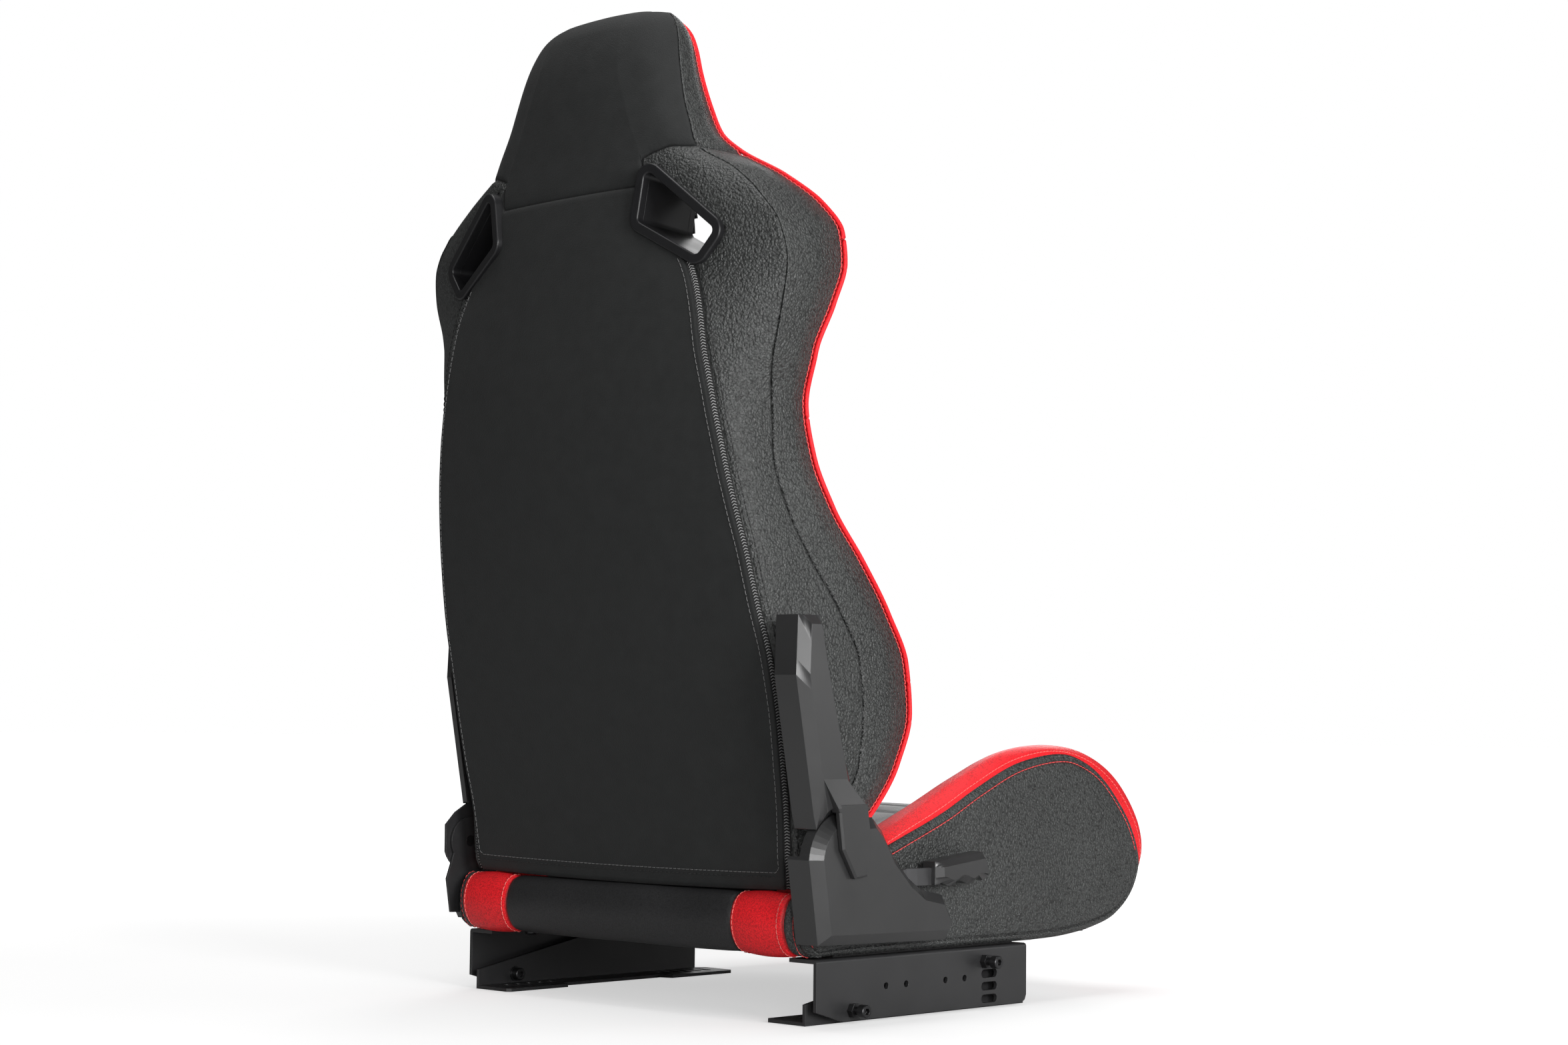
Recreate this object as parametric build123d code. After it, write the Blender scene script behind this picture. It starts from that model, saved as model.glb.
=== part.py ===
from build123d import *
import math
import os

# Reclining bucket seat for a racing rig or a car, on height-adjustable side brackets.
# Millimetres. +Z is up, the seat faces -Y, and -X is the occupant's right-hand side, where the lever is.
# The origin is the centre of the floor-slot pattern, on the floor plane.

# ---- driving dimensions ----------------------------------------------------------------------
PIVOT_Y, PIVOT_Z = 172.0, 158.0          # recline axis, parallel to X
SWEEP_GAP = 34.6                         # the base is relieved to this radius; the backrest stays 3 mm inside

UPPER_X = 256.4                          # outer face of each upper bracket
UPPER_T = 4.0
UPPER_REAR, UPPER_FRONT = 172.0, -148.5
UPPER_LOW, UPPER_TOP = 2.9, 63.7
LOWER_X = 243.0                          # outer face of each lower bracket
LOWER_T = 3.5
FOOT_SLOT_X, FOOT_SLOT_Y = 217.0, 113.5  # centre of each floor-slot group
FOOT_SLOT_PITCH, FOOT_SLOT_COUNT = 15.6, 5
FOOT_SLOT_LENGTH, FOOT_SLOT_WIDTH = 24.5, 8.5
REAR_BOLT = (121.0, 13.0)                # (Y, Z) of the rear pivot bolt
FRONT_BOLT = (-80.0, 48.6)               # (Y, Z) of the front bolt, at the rear end of the top slot
HEIGHT_SLOT_Y = -88.0
HEIGHT_SLOTS_Z = (48.6, 35.9, 23.2, 10.5)
PLATE_HOLES_Y = (71.2, 41.2, -18.8, -48.8)
PLATE_HOLE_Z, PLATE_HOLE_R = 33.4, 3.3
BOLT_R, BOLT_HOLE_R = 4.0, 4.25
HEAD_R, HEAD_H, SOCKET_AF = 6.5, 8.0, 6.0
NUT_AF, NUT_H = 13.0, 6.5
MOUNT_SCREW_X, MOUNT_SCREWS_Y = 229.0, (108.0, -112.0)

BASE_SIDE = 258.0                        # outer face of the base's side panels
SKIN = 3.5
CUSHION_HALF = 168.0
FOAM_LOW = 98.0
FRAME_TUBE_R, TUBE_WALL = 11.0, 2.0
FRAME_Z = 80.0

SPRINGS_Y = (90.0, -60.0, -120.0, -240.0)
CROSS_BARS_Y = (20.0, -190.0)             # cross tubes of the base frame
CROSS_BAR_R = 8.0
BACK_BARS = ((230.0, 174.2), (430.0, 200.2))   # (Z, Y) of the cross tubes of the hoop

PANEL_T = 4.0                            # thickness of the rear trim panel
FRAME_HALF = 206.0                       # half width of the backrest's steel hoop
PAD_HALF = 148.0                         # half width of the backrest's centre pad
HEAD_Z = 838.0                           # the head pad starts here
PART_GAP = 0.3

VENT = ((95.0, 775.0), (108.0, 850.0), (213.0, 766.0), (180.0, 728.0))   # (X, Z) of a vent bezel's corners
VENT_ROUND = 16.0
VENT_FRAME = 10.0
VENT_EDGE = 2.0                          # rounding of the bezel edges that show
VENT_CENTRE = (149.4, 267.8, 780.5)
VENT_TURN = 11.5                         # degrees that the vent faces outwards
VENT_DEPTH = 88.0

ARM_SCREWS_RIGHT = ((198.0, 300.0), (210.0, 358.0))   # (Y, Z)
ARM_SCREWS_LEFT = ((186.0, 296.0), (192.0, 350.0))
PLATE_SCREWS = ((60.0, 86.0), (108.0, 86.0))       # (Y, Z) of the recliner plates' screws
LEVER_PIVOT = (118.0, 122.0)             # (Y, Z)
STRAP_END = 3.0                          # front end of the lever's strap, inside the grip (Y)
PAWL_PIVOT = (128.0, 104.0)
SECTOR_R, TOOTH = 36.0, 3.0

# Outline of the backrest in level slices. Each row holds the height, the rear centre, then half-width
# and depth of: panel edge, rear of the wing, side of the wing, front edge; then foot of the wing.
SLICES = (
    # z,    yc,    xz,  yz,    xr,  yr,    xo,  yo,    xp,  yp,    xi,  yi
    (130.5, 184.5, 225, 183.5, 236, 179.0, 242, 173.0, 238, 164.0, 190, 161.0),
    (140.0, 187.0, 227, 186.0, 239, 181.0, 245, 172.0, 241, 154.0, 190, 153.0),
    (160.0, 192.0, 228, 189.0, 240, 182.0, 248, 168.0, 244, 134.0, 190, 140.0),
    (200.0, 198.0, 231, 194.0, 241, 182.0, 249, 135.0, 244, 80.0, 185, 128.0),
    (250.0, 209.0, 235, 203.5, 243, 188.0, 250, 103.0, 244, 40.0, 178, 128.0),
    (300.0, 219.5, 237, 212.5, 244, 196.0, 251, 98.0, 245, 23.0, 172, 134.0),
    (350.0, 232.0, 236, 223.0, 243, 206.0, 250, 103.0, 245, 29.0, 168, 143.0),
    (400.0, 244.0, 231.5, 236.0, 239, 219.0, 248, 131.0, 245, 57.0, 165, 153.0),
    (450.0, 257.0, 226, 246.5, 236, 226.0, 243, 168.0, 242, 92.0, 162, 163.0),
    (500.0, 270.0, 218, 257.0, 230, 236.0, 236, 195.0, 238, 131.0, 160, 173.0),
    (550.0, 279.0, 209.5, 265.0, 224, 246.0, 232, 210.0, 231, 152.0, 158, 182.0),
    (600.0, 284.0, 200, 270.0, 220, 248.0, 232, 213.0, 229, 162.0, 158, 190.0),
    (650.0, 286.0, 189, 272.3, 222, 251.0, 246, 226.0, 242, 163.0, 158, 195.0),
    (700.0, 285.0, 178, 270.0, 226, 247.0, 257, 226.0, 253, 149.0, 156, 196.0),
    (740.0, 284.0, 160, 267.0, 222, 249.0, 265, 231.0, 260, 141.0, 150, 194.0),
    (770.0, 283.0, 130, 271.5, 212, 253.0, 260, 237.0, 257, 142.0, 136, 191.0),
    (800.0, 281.0, 115, 274.0, 190, 258.0, 238, 241.0, 238, 150.0, 128, 188.0),
    (830.0, 279.5, 108, 274.0, 166, 260.0, 203, 241.0, 203, 166.0, 112, 185.0),
    (860.0, 277.5, 95, 271.0, 130, 261.0, 153, 245.0, 150, 176.0, 95, 182.0),
    (880.0, 276.0, 85, 270.5, 120, 259.5, 144, 243.0, 126, 180.0, 80, 182.0),
    (905.0, 273.5, 75, 268.5, 108, 258.0, 132.5, 240, 112, 180.0, 75, 181.0),
    (946.0, 269.0, 60, 265.0, 95, 254.0, 119, 234.0, 95, 180.0, 66, 181.0),
    (985.0, 257.0, 52, 253.0, 85, 242.0, 107, 227.0, 84, 183.0, 56, 184.0),
    (1005.0, 242.0, 45, 239.0, 72, 231.0, 90, 221.0, 66, 191.0, 42, 193.0),
    (1012.0, 228.0, 30, 226.0, 50, 222.0, 62, 217.0, 48, 201.0, 28, 204.0),
)

os.makedirs("parts", exist_ok=True)
written = []


# ---- helpers ---------------------------------------------------------------------------------
def save(name, *shapes):
    """Write one sub-part, made of one solid or of several separate ones."""
    solids = [solid for shape in shapes for solid in shape.solids()]
    export_step(solids[0] if len(solids) == 1 else Compound(children=solids), f"parts/{name}.step")
    written.append(name)


def side_face(points, x, rounding=0.0):
    """A flat outline of (Y, Z) points in the plane at X = x."""
    face = make_face(Polyline(*points, close=True))
    if rounding:
        face = fillet(face.vertices(), rounding)
    return Plane.YZ.offset(x) * face


def side_plate(points, x_low, x_high, rounding=0.0):
    """A plate with a (Y, Z) outline, from x_low to x_high."""
    return extrude(side_face(points, x_low, rounding), amount=x_high - x_low)


def rod(x_low, x_high, y, z, radius):
    """A round bar along X."""
    return Pos((x_low + x_high) / 2, y, z) * Rot(0, 90, 0) * Cylinder(radius, x_high - x_low)


def hex_bar(x_low, x_high, y, z, across_flats):
    """A hexagonal bar along X."""
    face = RegularPolygon(across_flats / 2, 6, major_radius=False)
    plane = Plane(origin=(x_low, y, z), x_dir=(0, 1, 0), z_dir=(1, 0, 0))
    return plane * extrude(face, amount=x_high - x_low)


def block(x_low, x_high, y_low, y_high, z_low, z_high):
    """A block between two corners."""
    size = (x_high - x_low, y_high - y_low, z_high - z_low)
    centre = ((x_high + x_low) / 2, (y_high + y_low) / 2, (z_high + z_low) / 2)
    return Pos(*centre) * Box(*size)


def flip(shape):
    """The same part on the other side of the seat."""
    return mirror(shape, about=Plane.YZ)


def polar(radius, degrees):
    """A (Y, Z) point at an angle about the recline axis. 0 is to the rear and 90 is up."""
    angle = math.radians(degrees)
    return (PIVOT_Y + radius * math.cos(angle), PIVOT_Z + radius * math.sin(angle))


def arc_points(radius, start, end, count):
    """Points along an arc about the recline axis."""
    return [polar(radius, start + (end - start) * i / (count - 1)) for i in range(count)]


def tube(points, radius, corner, wall=0.0):
    """A round wire, or a tube with a wall, along a path with rounded corners."""
    path = FilletPolyline(*points, radius=corner)
    first = Vector(points[0])
    start = Plane(origin=first, z_dir=Vector(points[1]) - first)
    bar = sweep(start * Circle(radius), path=path)
    if wall:
        bar -= sweep(start * Circle(radius - wall), path=path)
    return bar


# ---- brackets --------------------------------------------------------------------------------
def lower_bracket():
    """L bracket that bolts to the floor: upright flange outside, foot with slots inside."""
    reach = UPPER_FRONT - 5.5
    upright = side_plate(
        ((173, 0), (173, 20.5), (-24, 57.5), (reach + 4, 57.5), (reach, 53.5), (reach, 0)),
        LOWER_X - LOWER_T, LOWER_X)
    foot_plan = ((LOWER_X, 173), (194, 173), (190, 169), (190, 88), (204, 82), (204, -64), (190, -70),
                 (190, -164), (194, -168), (LOWER_X - 8, -168), (LOWER_X, -160))
    foot = extrude(make_face(Polyline(*foot_plan, close=True)), amount=LOWER_T)
    bracket = upright + foot
    for centre_y in (FOOT_SLOT_Y, -FOOT_SLOT_Y):
        for step in range(FOOT_SLOT_COUNT):
            y = centre_y + (step - (FOOT_SLOT_COUNT - 1) / 2) * FOOT_SLOT_PITCH
            slot = SlotOverall(FOOT_SLOT_LENGTH, FOOT_SLOT_WIDTH)
            bracket -= Pos(FOOT_SLOT_X, y, -1) * extrude(slot, amount=LOWER_T + 2)
    for y, z in (REAR_BOLT, FRONT_BOLT):
        bracket -= rod(LOWER_X - 10, LOWER_X + 5, y, z, BOLT_HOLE_R)
    return bracket


def upper_bracket():
    """Inverted L bracket under the base: the front bolt moves between four slots to tilt the seat."""
    web_points = ((UPPER_REAR, UPPER_TOP - 2), (UPPER_REAR, UPPER_LOW + 11), (UPPER_REAR - 38, UPPER_LOW),
                  (UPPER_FRONT + 8, UPPER_LOW), (UPPER_FRONT + 2.4, UPPER_LOW + 2.4),
                  (UPPER_FRONT, UPPER_LOW + 8), (UPPER_FRONT, UPPER_TOP - 2))
    web = side_plate(web_points, UPPER_X - UPPER_T, UPPER_X)
    flange = block(UPPER_X - 36, UPPER_X, UPPER_FRONT, UPPER_REAR, UPPER_TOP - UPPER_T, UPPER_TOP)
    bracket = web + flange
    bend = bracket.edges().filter_by(Axis.Y).sort_by(lambda e: -(e.center().X + e.center().Z))[0]
    bracket = fillet(bend, 3.5)
    for y in PLATE_HOLES_Y:
        bracket -= rod(UPPER_X - 10, UPPER_X + 5, y, PLATE_HOLE_Z, PLATE_HOLE_R)
    for z in HEIGHT_SLOTS_Z:
        slot = Plane.YZ.offset(UPPER_X - 10) * Pos(HEIGHT_SLOT_Y, z) * SlotOverall(25, FOOT_SLOT_WIDTH)
        bracket -= extrude(slot, amount=20)
    bracket -= rod(UPPER_X - 10, UPPER_X + 5, *REAR_BOLT, BOLT_HOLE_R)
    for y in MOUNT_SCREWS_Y:
        bracket -= Pos(MOUNT_SCREW_X, y, UPPER_TOP) * Cylinder(BOLT_HOLE_R, 12)
    return bracket


def bracket_spacer(y, z):
    """Sleeve between the two brackets round a bolt."""
    low, high = LOWER_X, UPPER_X - UPPER_T
    return rod(low, high, y, z, 8.0) - rod(low - 1, high + 1, y, z, BOLT_HOLE_R)


def cap_screw(x_tip, x_seat, y, z):
    """Socket cap screw along X, from its tip to the seat of its head, with the head beyond the seat."""
    way = 1 if x_seat > x_tip else -1
    x_end = x_seat + way * HEAD_H
    shank = rod(min(x_tip, x_seat), max(x_tip, x_seat), y, z, BOLT_R)
    head = rod(min(x_seat, x_end), max(x_seat, x_end), y, z, HEAD_R)
    head = chamfer(head.edges().sort_by(Axis.X)[-1 if way > 0 else 0], 0.8)
    socket = hex_bar(min(x_end - way * 4, x_end + way), max(x_end - way * 4, x_end + way), y, z, SOCKET_AF)
    return shank + head - socket


def nut(x_low, y, z):
    """Hexagon nut on a bolt along X."""
    return hex_bar(x_low, x_low + NUT_H, y, z, NUT_AF) - rod(x_low - 1, x_low + NUT_H + 1, y, z, BOLT_R)


def washer(x_low, y, z):
    """Plain washer on a bolt along X."""
    return rod(x_low, x_low + 1.6, y, z, 8.0) - rod(x_low - 1, x_low + 3, y, z, BOLT_R)


def brackets():
    save("lower_bracket_left", lower_bracket())
    save("lower_bracket_right", flip(lower_bracket()))
    save("upper_bracket_left", upper_bracket())
    save("upper_bracket_right", flip(upper_bracket()))
    bolts = (REAR_BOLT, FRONT_BOLT)
    inner, outer = LOWER_X - LOWER_T, UPPER_X
    save("bracket_spacers", *[bracket_spacer(*b) for b in bolts], *[flip(bracket_spacer(*b)) for b in bolts])
    # The heads of all four bolts point to the occupant's right.
    save("bracket_bolts_right", *[cap_screw(-inner + 8, -outer - 12, *b) for b in bolts])
    save("bracket_bolts_left", *[cap_screw(outer + 8, inner - 1.6, *b) for b in bolts])
    save("bracket_nuts_right", *[nut(-outer - NUT_H, *b) for b in bolts], *[nut(-inner, *b) for b in bolts])
    save("bracket_nuts_left", *[nut(outer, *b) for b in bolts])
    save("bracket_washers", *[washer(inner - 1.6, *b) for b in bolts])


# ---- base frame ------------------------------------------------------------------------------
def base_frame():
    """Steel tube ring under the cushion, with two cross tubes."""
    half, front, rear = MOUNT_SCREW_X, -300.0, 148.0
    path = Pos(0, (front + rear) / 2, FRAME_Z) * RectangleRounded(2 * half, rear - front, 30.0)
    start = Plane(origin=(0, rear, FRAME_Z), x_dir=(0, 1, 0), z_dir=(1, 0, 0))
    wire = path.faces()[0].outer_wire()
    hollow = sweep(start * Circle(FRAME_TUBE_R - TUBE_WALL), path=wire)
    ring = sweep(start * Circle(FRAME_TUBE_R), path=wire)
    for y in CROSS_BARS_Y:
        ring += rod(-half, half, y, FRAME_Z, CROSS_BAR_R)
        hollow += rod(-half, half, y, FRAME_Z, CROSS_BAR_R - TUBE_WALL)
    return ring - hollow


def seat_rail_plate():
    """Steel strip welded under the side of the frame: the upper bracket's flange screws to it."""
    plate = block(MOUNT_SCREW_X - 15, MOUNT_SCREW_X + 15, -140, 135, UPPER_TOP, UPPER_TOP + 5)
    for y in MOUNT_SCREWS_Y:
        plate -= Pos(MOUNT_SCREW_X, y, UPPER_TOP) * Cylinder(BOLT_R, 18)
    return plate


def mount_screw(y):
    """Flanged button screw that holds the base on an upper bracket."""
    seat = UPPER_TOP - UPPER_T
    screw = Pos(MOUNT_SCREW_X, y, (seat + UPPER_TOP + 5) / 2) * Cylinder(BOLT_R, UPPER_TOP + 5 - seat)
    head = Pos(MOUNT_SCREW_X, y, seat - 2) * Cylinder(7.0, 4.0)
    head = chamfer(head.edges().sort_by(Axis.Z)[0], 1.2)
    socket = Pos(MOUNT_SCREW_X, y, seat - 4.5) * extrude(RegularPolygon(2.5, 6, major_radius=False), amount=3)
    return screw + head - socket


def seat_spring(y):
    """Zigzag wire spring from side to side of the frame."""
    half, turns, height = MOUNT_SCREW_X - FRAME_TUBE_R - 3, 18, FRAME_Z + 9
    points = [(-half, y, height)]
    for i in range(1, turns):
        points.append((-half + 2 * half * i / turns, y + (9 if i % 2 else -9), height))
    points.append((half, y, height))
    return tube(points, 1.6, 3.5)




def base_structure():
    save("base_frame", base_frame())
    save("rail_plate_left", seat_rail_plate())
    save("rail_plate_right", flip(seat_rail_plate()))
    screws = [mount_screw(y) for y in MOUNT_SCREWS_Y]
    save("mount_screws", *screws, *[flip(s) for s in screws])
    save("seat_springs", *[seat_spring(y) for y in SPRINGS_Y])


# ---- base upholstery -------------------------------------------------------------------------
def relief():
    """The space that the backrest's lower end sweeps through."""
    return rod(-300, 300, PIVOT_Y, PIVOT_Z, SWEEP_GAP)


CUSHION_SIDE = ((150, FOAM_LOW), (150, 112), (128, 136), (95, 150), (55, 158), (0, 170), (-70, 185),
                (-140, 194),
                (-210, 195), (-270, 188), (-320, 172), (-352, 146), (-362, 118), (-350, 104),
                (-330, FOAM_LOW))
BOLSTER_CREST = ((150, FOAM_LOW), (150, 116), (130, 138), (100, 158), (50, 183), (-20, 213), (-75, 238), (-140, 262),
                 (-215, 269), (-280, 259), (-335, 231), (-376, 180), (-382, 150), (-366, 118), (-325, 92))
BOLSTER_SIDE = ((150, FOAM_LOW), (150, 116), (130, 138), (100, 156), (50, 175), (-20, 201), (-75, 226), (-140, 250),
                (-215, 259), (-277, 238), (-318, 202), (-346, 154), (-346, 134), (-330, 110), (-300, 92))


def blend_outline(first, second, share):
    """The outline a share of the way from the first to the second."""
    return [(a[0] + (b[0] - a[0]) * share, a[1] + (b[1] - a[1]) * share) for a, b in zip(first, second)]


def base_bolster():
    """Raised side pad of the base, from the cushion's edge to the side panel."""
    stations = (
        (CUSHION_HALF + PART_GAP, CUSHION_SIDE),
        (190.0, blend_outline(CUSHION_SIDE, BOLSTER_CREST, 0.5)),
        (212.0, blend_outline(CUSHION_SIDE, BOLSTER_CREST, 0.92)),
        (230.0, BOLSTER_CREST),
        (244.0, blend_outline(BOLSTER_CREST, BOLSTER_SIDE, 0.35)),
        (BASE_SIDE - SKIN - PART_GAP, BOLSTER_SIDE),
    )
    return loft([side_face(outline, x) for x, outline in stations], ruled=True)


def side_panel():
    """Sewn side panel of the base, down to the brackets."""
    low = UPPER_TOP + 2.5
    outline = ((176, low), (188, 76), (191, 92), (189, 110), (178, 122), (150, 129), (130, 137), (100, 156),
               (50, 175), (-20, 201), (-75, 226), (-140, 250), (-215, 259), (-250, 251), (-277, 238), (-304, 216),
               (-332, 184), (-346, 154), (-348, 139), (-335, 114.5), (-305, 93), (-267, 80), (-213, 69), (-160, low))
    panel = side_plate(outline, BASE_SIDE - SKIN, BASE_SIDE)
    for y, z in PLATE_SCREWS:
        panel -= rod(BASE_SIDE - 10, BASE_SIDE + 5, y, z, 4.3)
    return panel - relief()


def rear_roll():
    """Rolled rear edge of the base, below the backrest."""
    low = UPPER_TOP + 2.5
    return ((163, low), (182, low), (195, 77), (201, 92), (200, 108), (194, 122), (186, 125), (163, 122))


def rear_corner():
    """Rounded end of the rear edge, covered by a sewn patch."""
    full = rear_roll()
    end = [(163 + (y - 163) * 0.55, z) for y, z in full]
    near_end = [(163 + (y - 163) * 0.9, z) for y, z in full]
    stations = ((CUSHION_HALF, full), (236.0, full), (247.0, near_end), (BASE_SIDE - SKIN - PART_GAP, end))
    return loft([side_face(outline, x) for x, outline in stations], ruled=True) - relief()


def base_upholstery():
    space = relief()
    save("base_cushion", side_plate(CUSHION_SIDE, -CUSHION_HALF, CUSHION_HALF) - space)
    save("base_bolster_left", base_bolster() - space)
    save("base_bolster_right", flip(base_bolster() - space))
    save("base_side_panel_left", side_panel())
    save("base_side_panel_right", flip(side_panel()))
    save("base_rear_roll", side_plate(rear_roll(), -CUSHION_HALF + PART_GAP, CUSHION_HALF - PART_GAP) - space)
    save("base_rear_corner_left", rear_corner())
    save("base_rear_corner_right", flip(rear_corner()))
    front = block(-205, 205, -312, 150, UPPER_TOP + 1.5, UPPER_TOP + 3.0)
    save("base_bottom_cover", front)


# ---- backrest upholstery ---------------------------------------------------------------------
def slice_outline(row):
    """Closed outline of one level slice of the padding, without the rear panel."""
    z, yc, xz, yz, xr, yr, xo, yo, xp, yp, xi, yi = row
    skin = PANEL_T + PART_GAP
    crown = (xp - 16, yp - 3)
    hollow = (xi + 0.72 * (crown[0] - xi), yi + 0.42 * (crown[1] - yi))
    half = [
        (xz, yz - skin), (xz + 1.5, yz - 3), (xr, yr), (xo, yo), ((xo + xp) / 2 + 1, (yo + yp) / 2),
        (xp, yp + 4), (xp - 4, yp), crown, hollow, (xi, yi),
    ]
    rear = [(0, yc - skin)]
    return [(x, y, z) for x, y in rear + half + [(0, yi)] + [(-x, y) for x, y in reversed(half)]]


def padding():
    """The whole padded backrest and head, before it is divided into its pads."""
    faces = [make_face(Polyline(*slice_outline(row), close=True)) for row in SLICES]
    return loft(faces, ruled=True)


def back_panel():
    """Rear trim panel between the two zips, up to the seam between the vents."""
    faces = []
    for row in SLICES:
        z, yc, xz, yz = row[:4]
        if z > 800.0:
            break
        y_mid = yz + 0.75 * (yc - yz)
        outer = ((-xz, yz), (-xz / 2, y_mid), (0, yc), (xz / 2, y_mid), (xz, yz))
        inner = ((xz, yz - PANEL_T), (0, yc - PANEL_T), (-xz, yz - PANEL_T))
        faces.append(make_face(Polyline(*[(x, y, z) for x, y in outer + inner], close=True)))
    return loft(faces, ruled=True)


def vent_plane(side, forward):
    """Plane of a vent bezel, looking out of the back of the seat."""
    turn = math.radians(VENT_TURN)
    normal = (side * math.sin(turn), math.cos(turn), 0)
    x, y, z = VENT_CENTRE
    across = (-math.cos(turn), side * math.sin(turn), 0)
    return Plane(origin=(side * x, y - forward, z), x_dir=across, z_dir=normal)


def vent_outline(grow=0.0):
    """Rounded four-sided outline of the left vent in the XZ plane, seen from behind."""
    face = make_face(Polyline(*VENT, close=True))
    face = fillet(face.vertices(), VENT_ROUND)
    if grow:
        face = offset(face, amount=grow)
    return face


def vent_prism(grow, y_low, y_high):
    """The left vent's outline, carried from front to rear along the vent's own axis."""
    lean = math.tan(math.radians(VENT_TURN))
    shift = (y_low - VENT_CENTRE[1]) * lean
    placed = Plane(origin=(shift, y_low, 0), x_dir=(1, 0, 0), z_dir=(0, -1, 0)) * vent_outline(grow)
    length = (y_high - y_low) * math.hypot(1, lean)
    return extrude(placed, amount=length, dir=(lean, 1, 0))


def vent_bezel(forward, low, high):
    """Frame round one end of the left vent, between two distances from its own plane."""
    plane = vent_plane(1, forward)
    slab = plane * Pos(0, 0, (low + high) / 2) * Box(320, 320, high - low)
    frame = (vent_prism(0, 100, 320) & slab) - vent_prism(-VENT_FRAME, 100, 320)
    faces = frame.faces().filter_by(lambda f: abs(f.normal_at().dot(plane.z_dir)) > 0.99).sort_by(Axis.Y)
    return fillet(faces[-1 if high > -low else 0].edges(), VENT_EDGE)


def vent_sleeve():
    """Plastic tunnel between the two bezels of the left vent."""
    depth = VENT_DEPTH * math.cos(math.radians(VENT_TURN))
    low, high = -depth + 4.2, -4.2
    mid = vent_plane(1, 0) * Pos(0, 0, (low + high) / 2) * Box(320, 320, high - low)
    return (vent_prism(-VENT_FRAME + 3.0, 100, 320) & mid) - vent_prism(-VENT_FRAME, 100, 320)


def zip_strip():
    """Left zip: a tape beside the edge of the rear panel."""
    faces = []
    for row in SLICES:
        z, yc, xz, yz, xr, yr = row[:6]
        if z > 740.0 or z < 150.0:
            continue
        run = math.hypot(xr - xz, yr - yz)
        ux, uy = (xr - xz) / run, (yr - yz) / run
        corners = ((0.4, 0.7), (6.5, 0.7), (6.5, 2.4), (0.4, 2.4))
        points = [(xz + 1.5 + a * ux - b * uy, yz - 3 + a * uy + b * ux, z) for a, b in corners]
        faces.append(make_face(Polyline(*points, close=True)))
    return loft(faces, ruled=True)


def front_piping():
    """Left piping along the front edge of the wing and the head."""
    faces = []
    for row in SLICES:
        z, xp, yp = row[0], row[8], row[9]
        points = ((xp - 3.4, yp), (xp, yp + 3.4), (xp + 2, yp + 1), (xp - 1, yp - 2))
        faces.append(make_face(Polyline(*[(x, y, z) for x, y in points], close=True)))
    return loft(faces, ruled=True)


def backrest_frame(wall=TUBE_WALL):
    """Steel hoop inside the backrest, from the recliner arms up between the vents to the head."""
    half = FRAME_HALF
    side = ((half, 168, 185), (half, 188, 330), (half - 6, 216, 560), (70, 236, 735), (64, 226, 940))
    points = list(side) + [(-x, y, z) for x, y, z in reversed(side)]
    corners = (60, 60, 60, 50, 40, 40, 60, 60)
    hoop = tube(points, FRAME_TUBE_R, corners, wall)
    reach = half - FRAME_TUBE_R + 1
    for z, y in BACK_BARS:
        cross = rod(-reach, reach, y, z, CROSS_BAR_R)
        hoop += cross - rod(-reach, reach, y, z, CROSS_BAR_R - wall) if wall else cross
    return hoop


def backrest_upholstery():
    body = padding()
    hoop = backrest_frame()
    save("backrest_frame", hoop)
    save("arm_mount_plates", arm_mount_plate(ARM_SCREWS_LEFT), flip(arm_mount_plate(ARM_SCREWS_RIGHT)))
    holes = vent_prism(-VENT_FRAME + 3.4, 60, 400)
    room = holes + flip(holes)
    for y, z in ARM_SCREWS_LEFT:
        room += rod(215, 262, y, z, 4.3)
    for y, z in ARM_SCREWS_RIGHT:
        room += rod(-262, -215, y, z, 4.3)
    for plane_forward, low, high in ((0, -4.3, 30), (VENT_DEPTH, -30, 4.3)):
        slab = vent_plane(1, plane_forward) * Pos(0, 0, (low + high) / 2) * Box(320, 320, high - low)
        seat = vent_prism(0.3, 60, 400) & slab
        room += seat + flip(seat)
    mount_outline = ((173, 285), (203.6, 285), (217.8, 375), (181, 375))
    mount_room = side_plate(mount_outline, FRAME_HALF, FRAME_HALF + 15.3)
    cushion = body - room - backrest_frame(0.0) - mount_room - flip(mount_room)
    low, high = 100.0, HEAD_Z
    save("backrest_pad", cushion & block(-PAD_HALF, PAD_HALF, 0, 400, low, high - PART_GAP))
    wing = cushion & block(PAD_HALF + PART_GAP, 320, 0, 400, low, high - PART_GAP)
    save("backrest_wing_left", wing)
    save("backrest_wing_right", cushion & block(-320, -PAD_HALF - PART_GAP, 0, 400, low, high - PART_GAP))
    save("head_pad", cushion & block(-320, 320, 0, 400, high, 1100))
    save("back_panel", back_panel() - room)
    save("zip_left", zip_strip() - room)
    save("zip_right", flip(zip_strip() - room))
    save("piping_left", front_piping())
    save("piping_right", flip(front_piping()))
    for name, forward, low, high in (("rear", 0, -4.0, 6.0), ("front", VENT_DEPTH, -6.0, 4.0)):
        bezel = vent_bezel(forward, low, high)
        save(f"vent_bezel_{name}_left", bezel)
        save(f"vent_bezel_{name}_right", flip(bezel))
    save("vent_sleeve_left", vent_sleeve())
    save("vent_sleeve_right", flip(vent_sleeve()))


def arm_mount_plate(screws):
    """Steel plate on the side of the hoop that takes a recliner arm's screws."""
    outer = FRAME_HALF + FRAME_TUBE_R + 4
    plate = side_plate(((174, 286), (203, 286), (217, 374), (182, 374)), FRAME_HALF + FRAME_TUBE_R, outer)
    for y, z in screws:
        plate -= rod(outer - 10, outer + 5, y, z, BOLT_R)
    return plate


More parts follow.
